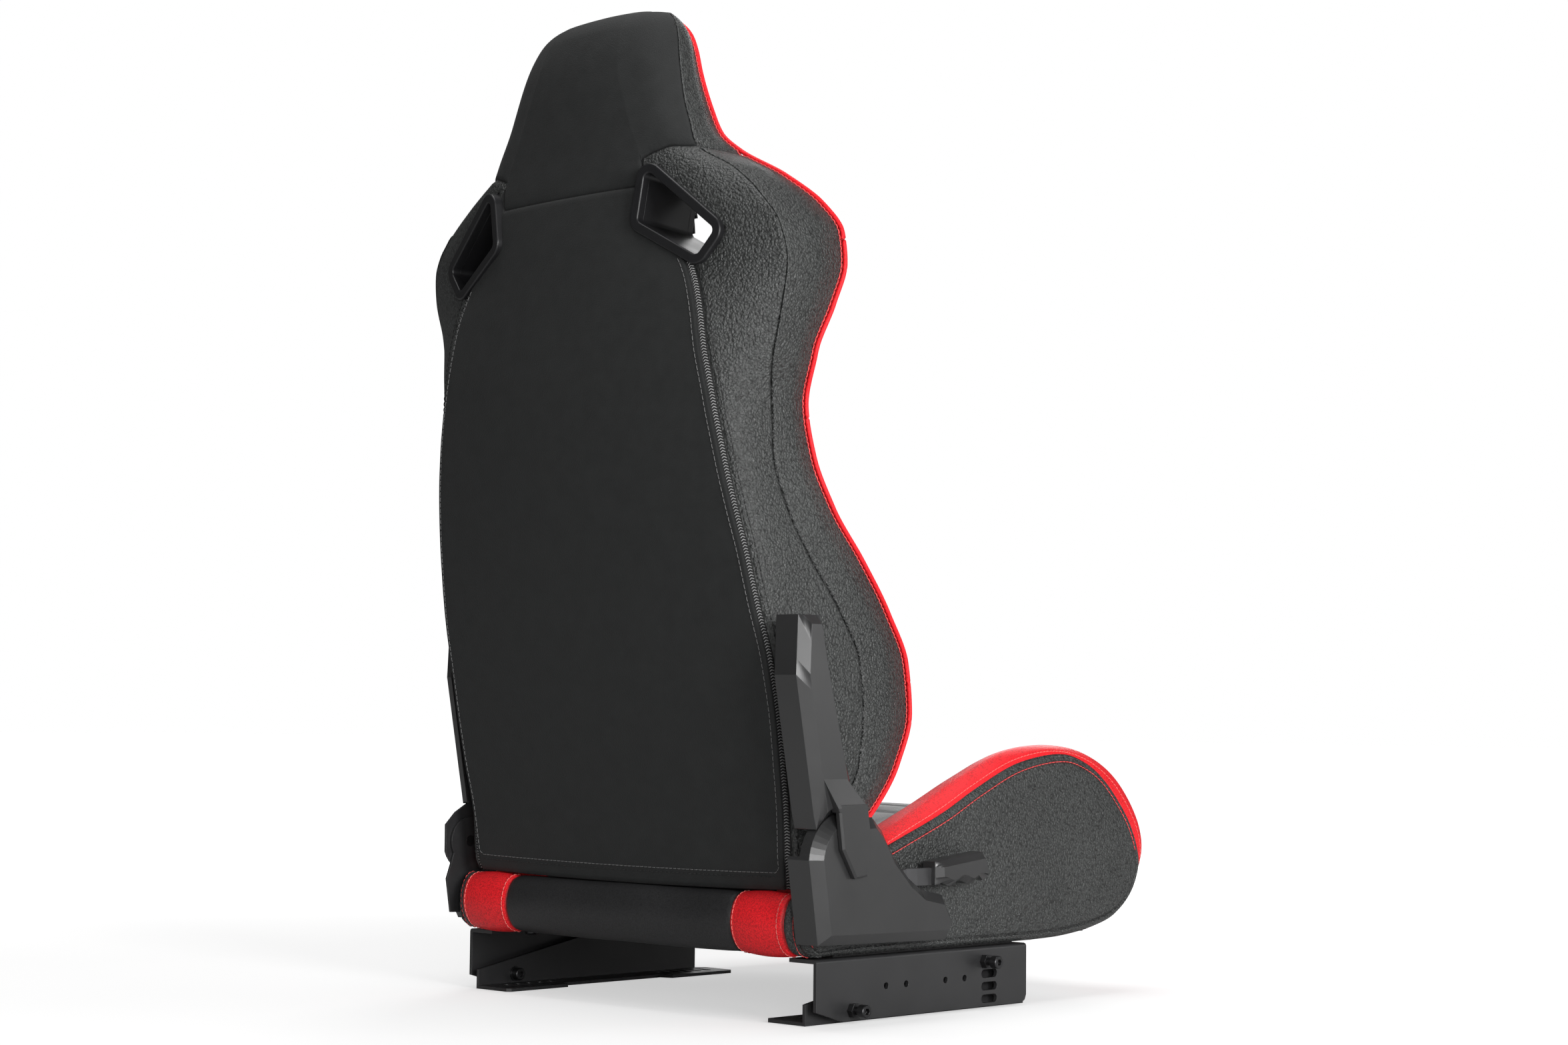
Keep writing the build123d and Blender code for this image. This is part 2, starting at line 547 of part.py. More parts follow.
# ---- recliner --------------------------------------------------------------------------------
# Right-hand recliner parts are drawn on the left, with X measured outwards, and flipped when saved.
R_PLATE, R_ARM, R_LEVER = (258.6, 261.8), (265.0, 270.0), (271.0, 274.5)
L_PLATE, L_ARM = (258.6, 261.1), (262.0, 265.0)
PIN_R, PIN_FIT = 8.0, 0.05


def recliner_plate(layer, pin_places):
    """Steel plate screwed to the base frame: it carries the recline pivot and, on the right, the lock."""
    low, high = layer
    outline = [(198, 82), (204, 118)] + arc_points(26, -30, 150, 13)
    outline += [(104, 138), (70, 112), (48, 98), (48, 80), (60, 78)]
    plate = side_plate(outline, low, high) - rod(low - 1, high + 1, PIVOT_Y, PIVOT_Z, 6.0)
    for y, z in PLATE_SCREWS + pin_places:
        plate -= rod(low - 1, high + 1, y, z, BOLT_R)
    for y, z in PLATE_SCREWS:
        plate -= rod(high - 1.5, high + 1, y, z, 7.0)
    return plate


def plate_screws(x_face):
    """Flat-headed screws from a recliner plate into the side of the base frame."""
    screws = []
    for y, z in PLATE_SCREWS:
        head = rod(x_face - 1.5, x_face, y, z, 7.0) - hex_bar(x_face - 1, x_face + 1, y, z, 5.0)
        screws.append(rod(MOUNT_SCREW_X + FRAME_TUBE_R, x_face - 1.5, y, z, BOLT_R) + head)
    return screws


def sector_teeth():
    """Points along the toothed edge of the lock sector."""
    points = []
    for i in range(23):
        angle = 218 + 4.0 * i
        points += [polar(SECTOR_R - TOOTH, angle), polar(SECTOR_R, angle + 1.0),
                   polar(SECTOR_R, angle + 2.4), polar(SECTOR_R - TOOTH, angle + 3.4)]
    return points


def recliner_arm(layer, foot, front, rear, neck, screws):
    """Steel arm from the pivot up the side of the backrest."""
    low, high = layer
    hub_front = [neck[0], polar(36, 100), polar(36, 150), polar(33, 190)]
    hub_rear = [polar(33, 340), polar(36, 30), polar(36, 60), neck[1]]
    arm = side_plate(front + hub_front + foot + hub_rear + rear, low, high)
    arm -= rod(low - 1, high + 1, PIVOT_Y, PIVOT_Z, PIN_R + PIN_FIT)
    for y, z in screws:
        arm -= rod(low - 1, high + 1, y, z, BOLT_R)
    return arm


def arm_screws(x_seat, head_height, places):
    """Screws that hold a recliner arm on the side of the backrest frame."""
    screws = []
    for y, z in places:
        screw = rod(FRAME_HALF + FRAME_TUBE_R, x_seat, y, z, BOLT_R)
        screw += rod(x_seat, x_seat + head_height, y, z, 6.0)
        screws.append(screw - hex_bar(x_seat + head_height - 2, x_seat + head_height + 1, y, z, 5.0))
    return screws


def pivot_pin(plate, arm):
    """Stepped pin that the arm turns on: riveted in the plate, with a wide head outside the arm."""
    y, z = PIVOT_Y, PIVOT_Z
    pin = rod(plate[0], plate[1], y, z, 6.0) + rod(plate[1], arm[1] + 0.3, y, z, PIN_R)
    return pin + rod(arm[1] + 0.3, arm[1] + 2.5, y, z, 12.0)


def pawl():
    """Toothed lock pawl below the sector, just clear of its teeth."""
    low, high = R_ARM
    tips = []
    for i in range(4):
        angle = 228 + 4.0 * i
        tips += [polar(SECTOR_R + 3.2, angle - 1.4), polar(SECTOR_R + 0.5, angle - 0.7),
                 polar(SECTOR_R + 0.5, angle + 0.7), polar(SECTOR_R + 3.2, angle + 1.4)]
    outline = tips + [(154, 112), (146, 106), (134, 96), (122, 97), (119, 106), (126, 114)]
    return side_plate(outline, low, high) - rod(low - 1, high + 1, *PAWL_PIVOT, 4.0 + PIN_FIT)


def lock_pins():
    """Pins that the pawl and the lever turn on."""
    low = R_PLATE[0]
    return [rod(low, R_ARM[1] + 0.4, *PAWL_PIVOT, 4.0), rod(low, 284.0, *LEVER_PIVOT, 4.0)]


def lever_strap():
    """Flat steel lever: a hub on its pin and a joggled strap that runs forward into the grip."""
    y, z = LEVER_PIVOT
    low, high = R_LEVER
    strap = rod(low, high, y, z, 13.0)
    strap += side_plate(((y, z - 9), (y + 4, z + 11), (62, 148), (62, 131)), low, high)
    joggle = ((low, 62.5), (high, 62.5), (278.0, 50), (278.0, STRAP_END), (274.5, STRAP_END), (274.5, 50))
    strap += extrude(Plane.XY.offset(131) * make_face(Polyline(*joggle, close=True)), amount=17)
    strap += side_plate(((y - 2, z - 20), (y + 8, z - 20), (y + 10, z), (y - 8, z)), low, high)
    return strap - rod(low - 1, high + 1, y, z, 4.0 + PIN_FIT)


def lever_grip():
    """Faceted plastic grip with finger grooves, pushed over the strap's front end."""
    front, rear, steps = -45.0, 29.0, 20
    outline = [(rear, 154), (front, 162), (front - 9, 138)]
    for i in range(steps + 1):
        y = front + (rear - front) * i / steps
        outline.append((y, 133.5 - 2.5 * i / steps + 2.2 * math.sin(5 * math.pi * i / steps)))
    face = Plane.YZ.offset(282.5) * make_face(Polyline(*outline, close=True))
    core = extrude(face, amount=-16)
    cap = extrude(face, amount=7.5, taper=38)
    return core + cap - block(274.3, 278.2, STRAP_END - 0.2, rear + 1, 130.8, 148.2)


def coil_spring(x_low, length, y, z, radius, wire, pitch):
    """Coil spring along X."""
    path = Helix(pitch=pitch, height=length, radius=radius)
    profile = Plane(origin=path @ 0, z_dir=path % 0) * Circle(wire)
    return Pos(x_low, y, z) * Rot(0, 90, 0) * sweep(profile, path=path)


def spiral_spring():
    """Flat spiral spring that swings the unlocked backrest forward."""
    turns, steps, inner, gap, half_strip = 4, 20, 13.5, 4.6, 0.8
    count = turns * steps
    rise = [inner + gap * i / steps for i in range(count + 1)]
    inside = [polar(r - half_strip, 360 * i / steps) for i, r in enumerate(rise)]
    outside = [polar(r + half_strip, 360 * i / steps) for i, r in enumerate(rise)]
    return side_plate(inside + outside[::-1], 276.0, 283.0)


# ---- plastic covers --------------------------------------------------------------------------
def hollow_cover(points, x_inner, x_edge, x_face, taper, wall):
    """Hollow plastic cover, open on its inner side: a straight rim, then a bevelled face."""
    flat = make_face(Polyline(*points, close=True))
    small = offset(flat, amount=-wall)
    outer = extrude(Plane.YZ.offset(x_inner) * flat, amount=x_edge - x_inner)
    outer += extrude(Plane.YZ.offset(x_edge) * flat, amount=x_face - x_edge, taper=taper)
    cavity = extrude(Plane.YZ.offset(x_inner - 1) * small, amount=x_edge - x_inner + 1)
    cavity += extrude(Plane.YZ.offset(x_edge) * small, amount=x_face - x_edge - wall, taper=taper)
    return outer - cavity


def lower_cover_right():
    """Deep cover over the lock. Its rim is open above, for the arm, and in front, for the lever."""
    points = [(207, 81), (213, 120)] + arc_points(48.0, 4, 120, 16)
    points += [(132, 200), (118, 187), (101, 162), (78, 140), (59, 128), (28, 122), (12, 95), (22, 78)]
    cover = hollow_cover(points, 262.0, 290.0, 300.0, 45, 2.4)
    cover -= block(261, 277.5, 100, 260, 164.5, 260)
    return cover - block(261, 281.0, 10, 133, 110, 210)


def lower_cover_left():
    """Slim cover over the plain pivot's plate on the other side."""
    points = [(178, 75), (183, 84), (183, 127), (168, 141), (120, 141), (70, 122), (40, 112), (30, 95), (36, 76)]
    cover = hollow_cover(points, 259.0, 270.0, 276.0, 45, 1.6)
    cover -= block(258, 267.0, 100, 215, 122, 260)
    return cover - block(258, R_PLATE[1], 20, 215, 70, 260)


def arm_cover_right():
    """Deep cover over the right arm, with a tongue that laps over the lower cover."""
    points = [(238, 392), (208, 392), (196, 340), (185, 300), (168, 238), (153, 207)]
    points += arc_points(49.6, 108, 40, 9) + [(214, 203), (240, 335)]
    body = hollow_cover(points, 262.0, 290.0, 300.0, 42, 2.2) - block(261, 277.5, 156, 210, 190, 214)
    ramp = side_plate(((178, 237), (155, 209), (196, 206), (211, 237)), 297.5, 307.0)
    slope = ((300.0, 237), (307.0, 210), (312, 210), (312, 240), (300.0, 240))
    plane = Plane(origin=(0, 230, 0), x_dir=(1, 0, 0), z_dir=(0, -1, 0))
    ramp -= plane * extrude(make_face(Polyline(*slope, close=True)), amount=90)
    finger = side_plate(((155, 213), (149, 177), (155, 145), (172, 143), (190, 171), (196, 213)), 300.8, 307.0)
    finger = chamfer(finger.faces().sort_by(Axis.X)[-1].edges().sort_by(Axis.Z)[:-1], 2.0)
    return body + ramp + finger


def arm_cover_left():
    """Slim cover over the left arm."""
    points = [(146, 197), (177, 197), (203, 335), (201, 378), (188, 378), (181, 345), (173, 300), (158, 240)]
    return hollow_cover(points, 259.0, 266.0, 271.0, 40, 1.6) - block(258, 267.5, 152, 184, 190, 200)


def recliner():
    save("recliner_plate_right", flip(recliner_plate(R_PLATE, (PAWL_PIVOT, LEVER_PIVOT))))
    save("recliner_plate_left", recliner_plate(L_PLATE, ()))
    right_front, right_rear = [(224, 374), (208, 374), (197, 330), (190, 300), (172, 232)], \
        [(206, 240), (218, 290), (228, 330)]
    left_front, left_rear = [(196, 368), (188, 368), (183, 340), (176, 300), (166, 240)], \
        [(180, 240), (192, 300), (197, 340)]
    right_neck, left_neck = (polar(48, 91), polar(48, 67)), ((157, 199), (173, 199))
    right_arm = recliner_arm(R_ARM, sector_teeth(), right_front, right_rear, right_neck, ARM_SCREWS_RIGHT)
    save("recliner_arm_right", flip(right_arm))
    round_foot = arc_points(SECTOR_R - TOOTH, 200, 330, 14)
    save("recliner_arm_left", recliner_arm(L_ARM, round_foot, left_front, left_rear, left_neck, ARM_SCREWS_LEFT))
    save("arm_screws_right", *[flip(s) for s in arm_screws(R_ARM[1], 4.5, ARM_SCREWS_RIGHT)])
    save("arm_screws_left", *arm_screws(L_ARM[1], 2.8, ARM_SCREWS_LEFT))
    screws = [flip(s) for s in plate_screws(R_PLATE[1])] + plate_screws(L_PLATE[1])
    save("plate_screws", *screws)
    save("pivot_pin_right", flip(pivot_pin(R_PLATE, R_ARM)))
    save("pivot_pin_left", pivot_pin(L_PLATE, L_ARM))
    save("locking_pawl", flip(pawl()))
    save("lock_pins", *[flip(p) for p in lock_pins()])
    save("lever_strap", flip(lever_strap()))
    save("lever_grip", flip(lever_grip()))
    save("lever_return_spring", flip(coil_spring(275.4, 7.0, *LEVER_PIVOT, 6.2, 0.8, 2.2)))
    save("recliner_spiral_spring", flip(spiral_spring()))
    save("lower_cover_right", flip(lower_cover_right()))
    save("lower_cover_left", lower_cover_left())
    save("arm_cover_right", flip(arm_cover_right()))
    save("arm_cover_left", arm_cover_left())


recliner()
brackets()
base_structure()
base_upholstery()
backrest_upholstery()
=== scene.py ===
import bpy
import bmesh
import math
import numpy as np
from mathutils import Matrix, Vector
from mathutils.kdtree import KDTree


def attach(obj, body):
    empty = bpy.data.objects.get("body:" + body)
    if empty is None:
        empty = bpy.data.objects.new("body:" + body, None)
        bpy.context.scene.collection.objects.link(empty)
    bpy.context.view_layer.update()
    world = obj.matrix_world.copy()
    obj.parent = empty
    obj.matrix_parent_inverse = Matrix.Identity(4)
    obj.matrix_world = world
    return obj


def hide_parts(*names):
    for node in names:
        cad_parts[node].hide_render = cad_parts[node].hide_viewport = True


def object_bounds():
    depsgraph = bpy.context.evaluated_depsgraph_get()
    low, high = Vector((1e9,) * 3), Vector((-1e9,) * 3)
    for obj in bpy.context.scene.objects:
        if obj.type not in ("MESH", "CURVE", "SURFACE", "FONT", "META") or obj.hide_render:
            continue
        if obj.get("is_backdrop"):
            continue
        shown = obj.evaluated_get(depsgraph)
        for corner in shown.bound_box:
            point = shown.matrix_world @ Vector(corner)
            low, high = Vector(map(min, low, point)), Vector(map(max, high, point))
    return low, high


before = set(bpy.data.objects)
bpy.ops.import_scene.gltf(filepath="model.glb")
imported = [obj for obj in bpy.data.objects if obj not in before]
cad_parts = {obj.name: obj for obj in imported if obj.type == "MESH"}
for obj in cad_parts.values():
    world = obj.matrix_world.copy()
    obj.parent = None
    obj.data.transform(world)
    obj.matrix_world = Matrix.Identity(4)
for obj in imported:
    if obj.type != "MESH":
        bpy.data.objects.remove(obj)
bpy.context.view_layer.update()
MM = 0.001

# Backrest outline in level slices: height, rear centre, then half-width and depth of the panel edge,
# rear of the wing, side of the wing and front edge, then the foot of the wing.
SLICES = np.array((
    (130.5, 184.5, 225, 183.5, 236, 179, 242, 173, 238, 164, 190, 161),
    (140, 187, 227, 186, 239, 181, 245, 172, 241, 154, 190, 153),
    (160, 192, 228, 189, 240, 182, 248, 168, 244, 134, 190, 140),
    (200, 198, 231, 194, 241, 182, 249, 135, 244, 80, 185, 128),
    (250, 209, 235, 203.5, 243, 188, 250, 103, 244, 40, 178, 128),
    (300, 219.5, 237, 212.5, 244, 196, 251, 98, 245, 23, 172, 134),
    (350, 232, 236, 223, 243, 206, 250, 103, 245, 29, 168, 143),
    (400, 244, 231.5, 236, 239, 219, 248, 131, 245, 57, 165, 153),
    (450, 257, 226, 246.5, 236, 226, 243, 168, 242, 92, 162, 163),
    (500, 270, 218, 257, 230, 236, 236, 195, 238, 131, 160, 173),
    (550, 279, 209.5, 265, 224, 246, 232, 210, 231, 152, 158, 182),
    (600, 284, 200, 270, 220, 248, 232, 213, 229, 162, 158, 190),
    (650, 286, 189, 272.3, 222, 251, 246, 226, 242, 163, 158, 195),
    (700, 285, 178, 270, 226, 247, 257, 226, 253, 149, 156, 196),
    (740, 284, 160, 267, 222, 249, 265, 231, 260, 141, 150, 194),
    (770, 283, 130, 271.5, 212, 253, 260, 237, 257, 142, 136, 191),
    (800, 281, 115, 274, 190, 258, 238, 241, 238, 150, 128, 188),
    (830, 279.5, 108, 274, 166, 260, 203, 241, 203, 166, 112, 185),
    (860, 277.5, 95, 271, 130, 261, 153, 245, 150, 176, 95, 182),
    (880, 276, 85, 270.5, 120, 259.5, 144, 243, 126, 180, 80, 182),
    (905, 273.5, 75, 268.5, 108, 258, 132.5, 240, 112, 180, 75, 181),
    (946, 269, 60, 265, 95, 254, 119, 234, 95, 180, 66, 181),
    (985, 257, 52, 253, 85, 242, 107, 227, 84, 183, 56, 184),
    (1005, 242, 45, 239, 72, 231, 90, 221, 66, 191, 42, 193),
    (1012, 228, 30, 226, 50, 222, 62, 217, 48, 201, 28, 204),
), float)
VENT = ((95, 775), (108, 850), (213, 766), (180, 728))       # (X, Z) corners of a vent bezel
VENT_CENTRE, VENT_TURN = (149.4, 267.8, 780.5), 11.5


# ---- materials ----
def material(name, color, roughness, specular=0.5, metallic=0.0, sheen=0.0, coat=0.0):
    """A new material, with its main shader, ready for colour and bump nodes."""
    mat = bpy.data.materials.new(name)
    mat.use_nodes = True
    shader = mat.node_tree.nodes["Principled BSDF"]
    shader.inputs["Base Color"].default_value = (*color, 1)
    shader.inputs["Roughness"].default_value = roughness
    shader.inputs["Specular IOR Level"].default_value = specular
    shader.inputs["Metallic"].default_value = metallic
    shader.inputs["Sheen Weight"].default_value = sheen
    shader.inputs["Coat Weight"].default_value = coat
    return mat, mat.node_tree, shader


def node(tree, kind, links=(), **values):
    """Adds a shader node, sets its values and links its inputs."""
    n = tree.nodes.new("ShaderNode" + kind)
    for key, value in values.items():
        if key in n.inputs:
            n.inputs[key].default_value = value
        else:
            setattr(n, key, value)
    for socket, source in links:
        tree.links.new(source, n.inputs[socket])
    return n


def times(tree, value, factor):
    """A number of the material multiplied by a fixed factor."""
    product = node(tree, "Math", [(0, value)], operation="MULTIPLY")
    product.inputs[1].default_value = factor
    return product.outputs[0]


def remap(tree, value, low, high, to_low, to_high, **more):
    """A number of the material carried from one range to another."""
    ranges = {"From Min": low, "From Max": high, "To Min": to_low, "To Max": to_high}
    return node(tree, "MapRange", [("Value", value)], **ranges, **more).outputs["Result"]


def scaled(tree, color, factor):
    """A colour of the material multiplied by a number of it."""
    product = node(tree, "VectorMath", [(0, color), ("Scale", factor)], operation="SCALE")
    return product.outputs["Vector"]


def emboss(tree, shader, height, strength, distance, normal=None):
    """Links a relief to the shader's normal."""
    links = [("Height", height)] + ([("Normal", normal)] if normal else [])
    bump = node(tree, "Bump", links, Strength=strength, Distance=distance)
    tree.links.new(bump.outputs["Normal"], shader.inputs["Normal"])


def vary(tree, shader, color, coords, scale, amount, rough, rough_amount,
         seam=False, relief=None, crease_shade=0.5):
    """Soft variation of colour and roughness, with painted shade: darker along seams and in the creases of
    the grain.
    """
    noise = node(tree, "TexNoise", [("Vector", coords)], Scale=scale, Detail=4.0, Roughness=0.6)
    ramp = node(tree, "ValToRGB", [("Fac", noise.outputs["Fac"])])
    low = [c * (1 - amount) for c in color]
    high = [min(1.0, c * (1 + amount)) for c in color]
    ramp.color_ramp.elements[0].position, ramp.color_ramp.elements[1].position = 0.3, 0.7
    ramp.color_ramp.elements[0].color = (*low, 1)
    ramp.color_ramp.elements[1].color = (*high, 1)
    source = ramp.outputs["Color"]
    # Painted shade: the colour darkens towards the seam line, down to 0.35 of itself there, where the groove
    # lies in shade.
    if seam:
        near = node(tree, "Attribute", attribute_name="seam").outputs["Fac"]
        source = scaled(tree, source, remap(tree, near, 0.0, 2.2, 0.35, 1.0))
    # Painted shade and light from the grain's relief: darker in the low creases, lighter on the raised cells.
    if relief is not None:
        source = scaled(tree, source, remap(tree, relief, -0.75, 0.05, 1 - crease_shade, 1 + crease_shade))
    tree.links.new(source, shader.inputs["Base Color"])
    gloss = remap(tree, noise.outputs["Fac"], 0.25, 0.75, rough - rough_amount, rough + rough_amount)
    tree.links.new(gloss, shader.inputs["Roughness"])


def leather(name, color, cell, depth, rough=0.5, specular=0.5, crease=0.5, seam=True, crease_shade=0.3):
    """Pebbled leatherette: cells of grain with fine creases between them, slow variation, and painted shade
    in the creases and, when seam is set, along seams.
    """
    mat, tree, shader = material(name, color, rough, specular)
    coords = node(tree, "TexCoord").outputs["Object"]
    warp = node(tree, "TexNoise", [("Vector", coords)], Scale=0.35 / cell, Detail=2.0)
    shift = node(tree, "VectorMath", [(0, warp.outputs["Color"])], operation="SCALE", Scale=cell * 1.6)
    moved = node(tree, "VectorMath", [(0, coords), (1, shift.outputs["Vector"])], operation="ADD")
    place = moved.outputs["Vector"]
    cells = node(tree, "TexVoronoi", [("Vector", place)],
                 feature="SMOOTH_F1", Scale=1.0 / cell, Smoothness=0.35, Randomness=1.0)
    small = node(tree, "TexVoronoi", [("Vector", place)], feature="F1", Scale=2.6 / cell)
    folds = node(tree, "TexNoise", [("Vector", coords)],
                 Scale=0.5 / cell, Detail=6.0, Roughness=0.62, Distortion=0.8)
    fine = times(tree, small.outputs["Distance"], 0.3)
    pits = node(tree, "Math", [(0, cells.outputs["Distance"]), (1, fine)], operation="ADD").outputs[0]
    rises = times(tree, folds.outputs["Fac"], crease)
    height = node(tree, "Math", [(0, rises), (1, pits)], operation="SUBTRACT").outputs[0]
    emboss(tree, shader, height, 1.0, depth)
    vary(tree, shader, color, coords, 9.0, 0.18, rough, 0.06, seam, height, crease_shade)
    return mat


def cloth(name, color, pitch, depth, rough=0.75, specular=0.3, seam=True):
    """Fine matte cover with a tight weave-like grain, and painted shade along seams when seam is set."""
    mat, tree, shader = material(name, color, rough, specular, sheen=0.05)
    coords = node(tree, "TexCoord").outputs["Object"]
    cells = node(tree, "TexVoronoi", [("Vector", coords)], feature="F1", Scale=1.0 / pitch)
    mottle = node(tree, "TexNoise", [("Vector", coords)], Scale=0.4 / pitch, Detail=5.0, Roughness=0.7)
    height = node(tree, "Math", [(0, mottle.outputs["Fac"]), (1, cells.outputs["Distance"])],
                  operation="SUBTRACT")
    emboss(tree, shader, height.outputs[0], 1.0, depth)
    vary(tree, shader, color, coords, 60.0, 0.12, rough, 0.05, seam)
    return mat


def plastic(name, color, rough, specular=0.5, grain=0.0006, depth=0.00004):
    """Moulded plastic with a fine spark-eroded texture and slightly rounded edges."""
    mat, tree, shader = material(name, color, rough, specular)
    coords = node(tree, "TexCoord").outputs["Object"]
    fine = node(tree, "TexNoise", [("Vector", coords)], Scale=1.0 / grain, Detail=3.0)
    edge = node(tree, "Bevel", Radius=0.0006)
    edge.samples = 4
    emboss(tree, shader, fine.outputs["Fac"], 0.5, depth, edge.outputs["Normal"])
    vary(tree, shader, color, coords, 14.0, 0.10, rough, 0.06)
    return mat


def steel(name, color, rough, metallic, specular=0.5, brush=0.0, depth=0.00003):
    """Coated or bare steel: orange-peel coat or fine machining marks, with slightly uneven gloss."""
    mat, tree, shader = material(name, color, rough, specular, metallic)
    coords = node(tree, "TexCoord").outputs["Object"]
    if brush:
        stretch = node(tree, "Mapping", [("Vector", coords)], Scale=(1.0, 30.0, 30.0))
        coat = node(tree, "TexNoise", [("Vector", stretch.outputs["Vector"])], Scale=brush, Detail=3.0)
    else:
        coat = node(tree, "TexNoise", [("Vector", coords)], Scale=1400.0, Detail=2.0)
    edge = node(tree, "Bevel", Radius=0.0006)
    edge.samples = 4
    emboss(tree, shader, coat.outputs["Fac"], 0.5, depth, edge.outputs["Normal"])
    vary(tree, shader, color, coords, 22.0, 0.12, rough, 0.07)
    return mat


def thread(name, color):
    """Twisted sewing thread."""
    mat, tree, shader = material(name, color, 0.6, 0.3)
    coords = node(tree, "TexCoord").outputs["Object"]
    twist = node(tree, "TexWave", [("Vector", coords)], Scale=900.0, Distortion=2.0)
    emboss(tree, shader, twist.outputs["Fac"], 0.6, 0.0002)
    vary(tree, shader, color, coords, 200.0, 0.2, 0.6, 0.05)
    return mat


BLACK = (0.030, 0.032, 0.031)
RED = (1.0, 0.018, 0.026)
# The pebbled leather paints strong shade in its grain's creases and light on its cells.
PEBBLE = leather("pebbled_black", BLACK, 0.0026, 0.0013, 0.44, 0.75, 0.6, crease_shade=0.8)
SMOOTH = leather("smooth_black", (0.020, 0.020, 0.021), 0.0016, 0.00015, 0.5, 0.45)
PANEL = cloth("panel_black", (0.021, 0.022, 0.022), 0.0011, 0.0002, 0.72, 0.25)
REDLEATHER = leather("red_leather", RED, 0.0016, 0.00012, 0.45, 0.3)
REDEDGE = leather("red_edge", RED, 0.0016, 0.00012, 0.5, 0.25, seam=False)
PLASTIC = plastic("charcoal_plastic", (0.024, 0.024, 0.0245), 0.33, 0.75)
DARKPLASTIC = plastic("black_plastic", (0.010, 0.010, 0.011), 0.40, 0.45)
STEEL = steel("black_steel", (0.022, 0.022, 0.023), 0.40, 0.0, 0.6)
ZINC = steel("dark_zinc", (0.06, 0.06, 0.062), 0.35, 0.9, brush=40.0)
SPRING = steel("spring_steel", (0.25, 0.25, 0.26), 0.3, 1.0, brush=60.0)
LEVER = steel("lever_steel", (0.10, 0.10, 0.103), 0.36, 0.7)
THREAD = thread("grey_thread", (0.16, 0.16, 0.16))
DARKTHREAD = thread("black_thread", (0.03, 0.03, 0.03))
REDTHREAD = thread("red_thread", (0.95, 0.10, 0.10))
LIGHTTHREAD = thread("light_red_thread", (1.0, 0.22, 0.20))
TEETH = plastic("zip_teeth", (0.30, 0.30, 0.30), 0.35, 0.5)
TAPE = cloth("zip_tape", (0.018, 0.018, 0.018), 0.0008, 0.0002, 0.8, 0.2, seam=False)

CAD_LOOKS = (                                       # material, and how the names of its CAD nodes start
    (STEEL, "upper_bracket lower_bracket rail_plate recliner_plate arm_mount_plates recliner_arm "
            "locking_pawl bracket_spacers base_frame backrest_frame"),
    (ZINC, "bracket_bolts bracket_nuts bracket_washers mount_screws plate_screws arm_screws pivot_pin "
           "lock_pins"),
    (SPRING, "lever_return_spring recliner_spiral_spring seat_springs"),
    (LEVER, "lever_strap"),
    (PLASTIC, "lever_grip arm_cover lower_cover"),
    (DARKPLASTIC, "vent_bezel vent_sleeve base_bottom_cover"),
)
for name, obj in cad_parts.items():
    for mat, starts in CAD_LOOKS:
        if name.startswith(tuple(starts.split())):
            obj.data.materials.clear()
            obj.data.materials.append(mat)


# ---- curve and mesh helpers ----
def pchip(xs, ys, x):
    """Smooth interpolation of the columns of ys that never overshoots."""
    h = np.diff(xs)[:, None]
    d = np.diff(ys, axis=0) / h
    m = np.zeros_like(ys)
    w1, w2 = 2 * h[1:] + h[:-1], h[1:] + 2 * h[:-1]
    same = d[:-1] * d[1:] > 0
    safe = np.where(same, w1 / np.where(same, d[:-1], 1) + w2 / np.where(same, d[1:], 1), 1)
    m[1:-1] = np.where(same, (w1 + w2) / safe, 0)
    m[0], m[-1] = d[0], d[-1]
    x = np.clip(np.asarray(x, float), xs[0], xs[-1])
    i = np.clip(np.searchsorted(xs, x, side="right") - 1, 0, len(xs) - 2)
    hh = (xs[i + 1] - xs[i])[..., None]
    t = ((x - xs[i])[..., None]) / hh
    a, b = ys[i], ys[i + 1]
    ma, mb = m[i] * hh, m[i + 1] * hh
    ends = (2 * t**3 - 3 * t**2 + 1) * a + (3 * t**2 - 2 * t**3) * b
    return ends + (t**3 - 2 * t**2 + t) * ma + (t**3 - t**2) * mb


def through(points, count, closed=False):
    """Smooth curve through points [..., k, d]: centripetal Catmull-Rom, count samples to each span."""
    p = np.asarray(points, float)
    if closed:
        p = np.concatenate([p[..., -1:, :], p, p[..., :2, :]], axis=-2)
    else:
        first = 2 * p[..., :1, :] - p[..., 1:2, :]
        last = 2 * p[..., -1:, :] - p[..., -2:-1, :]
        p = np.concatenate([first, p, last], axis=-2)
    step = np.sqrt(np.linalg.norm(np.diff(p, axis=-2), axis=-1)) + 1e-9
    out = []
    for i in range(p.shape[-2] - 3):
        p0, p1, p2, p3 = (p[..., i + j, :][..., None, :] for j in range(4))
        t1 = step[..., i][..., None]
        t2 = t1 + step[..., i + 1][..., None]
        t3 = t2 + step[..., i + 2][..., None]
        t = t1 + (t2 - t1) * np.linspace(0, 1, count, endpoint=False)
        t, t1, t2, t3 = t[..., None], t1[..., None], t2[..., None], t3[..., None]
        a1 = (t1 - t) / t1 * p0 + t / t1 * p1
        a2 = (t2 - t) / (t2 - t1) * p1 + (t - t1) / (t2 - t1) * p2
        a3 = (t3 - t) / (t3 - t2) * p2 + (t - t2) / (t3 - t2) * p3
        b1 = (t2 - t) / t2 * a1 + t / t2 * a2
        b2 = (t3 - t) / (t3 - t1) * a2 + (t - t1) / (t3 - t1) * a3
        out.append((t2 - t) / (t2 - t1) * b1 + (t - t1) / (t2 - t1) * b2)
    if not closed:
        out.append(p[..., -2:-1, :])
    return np.concatenate(out, axis=-2)


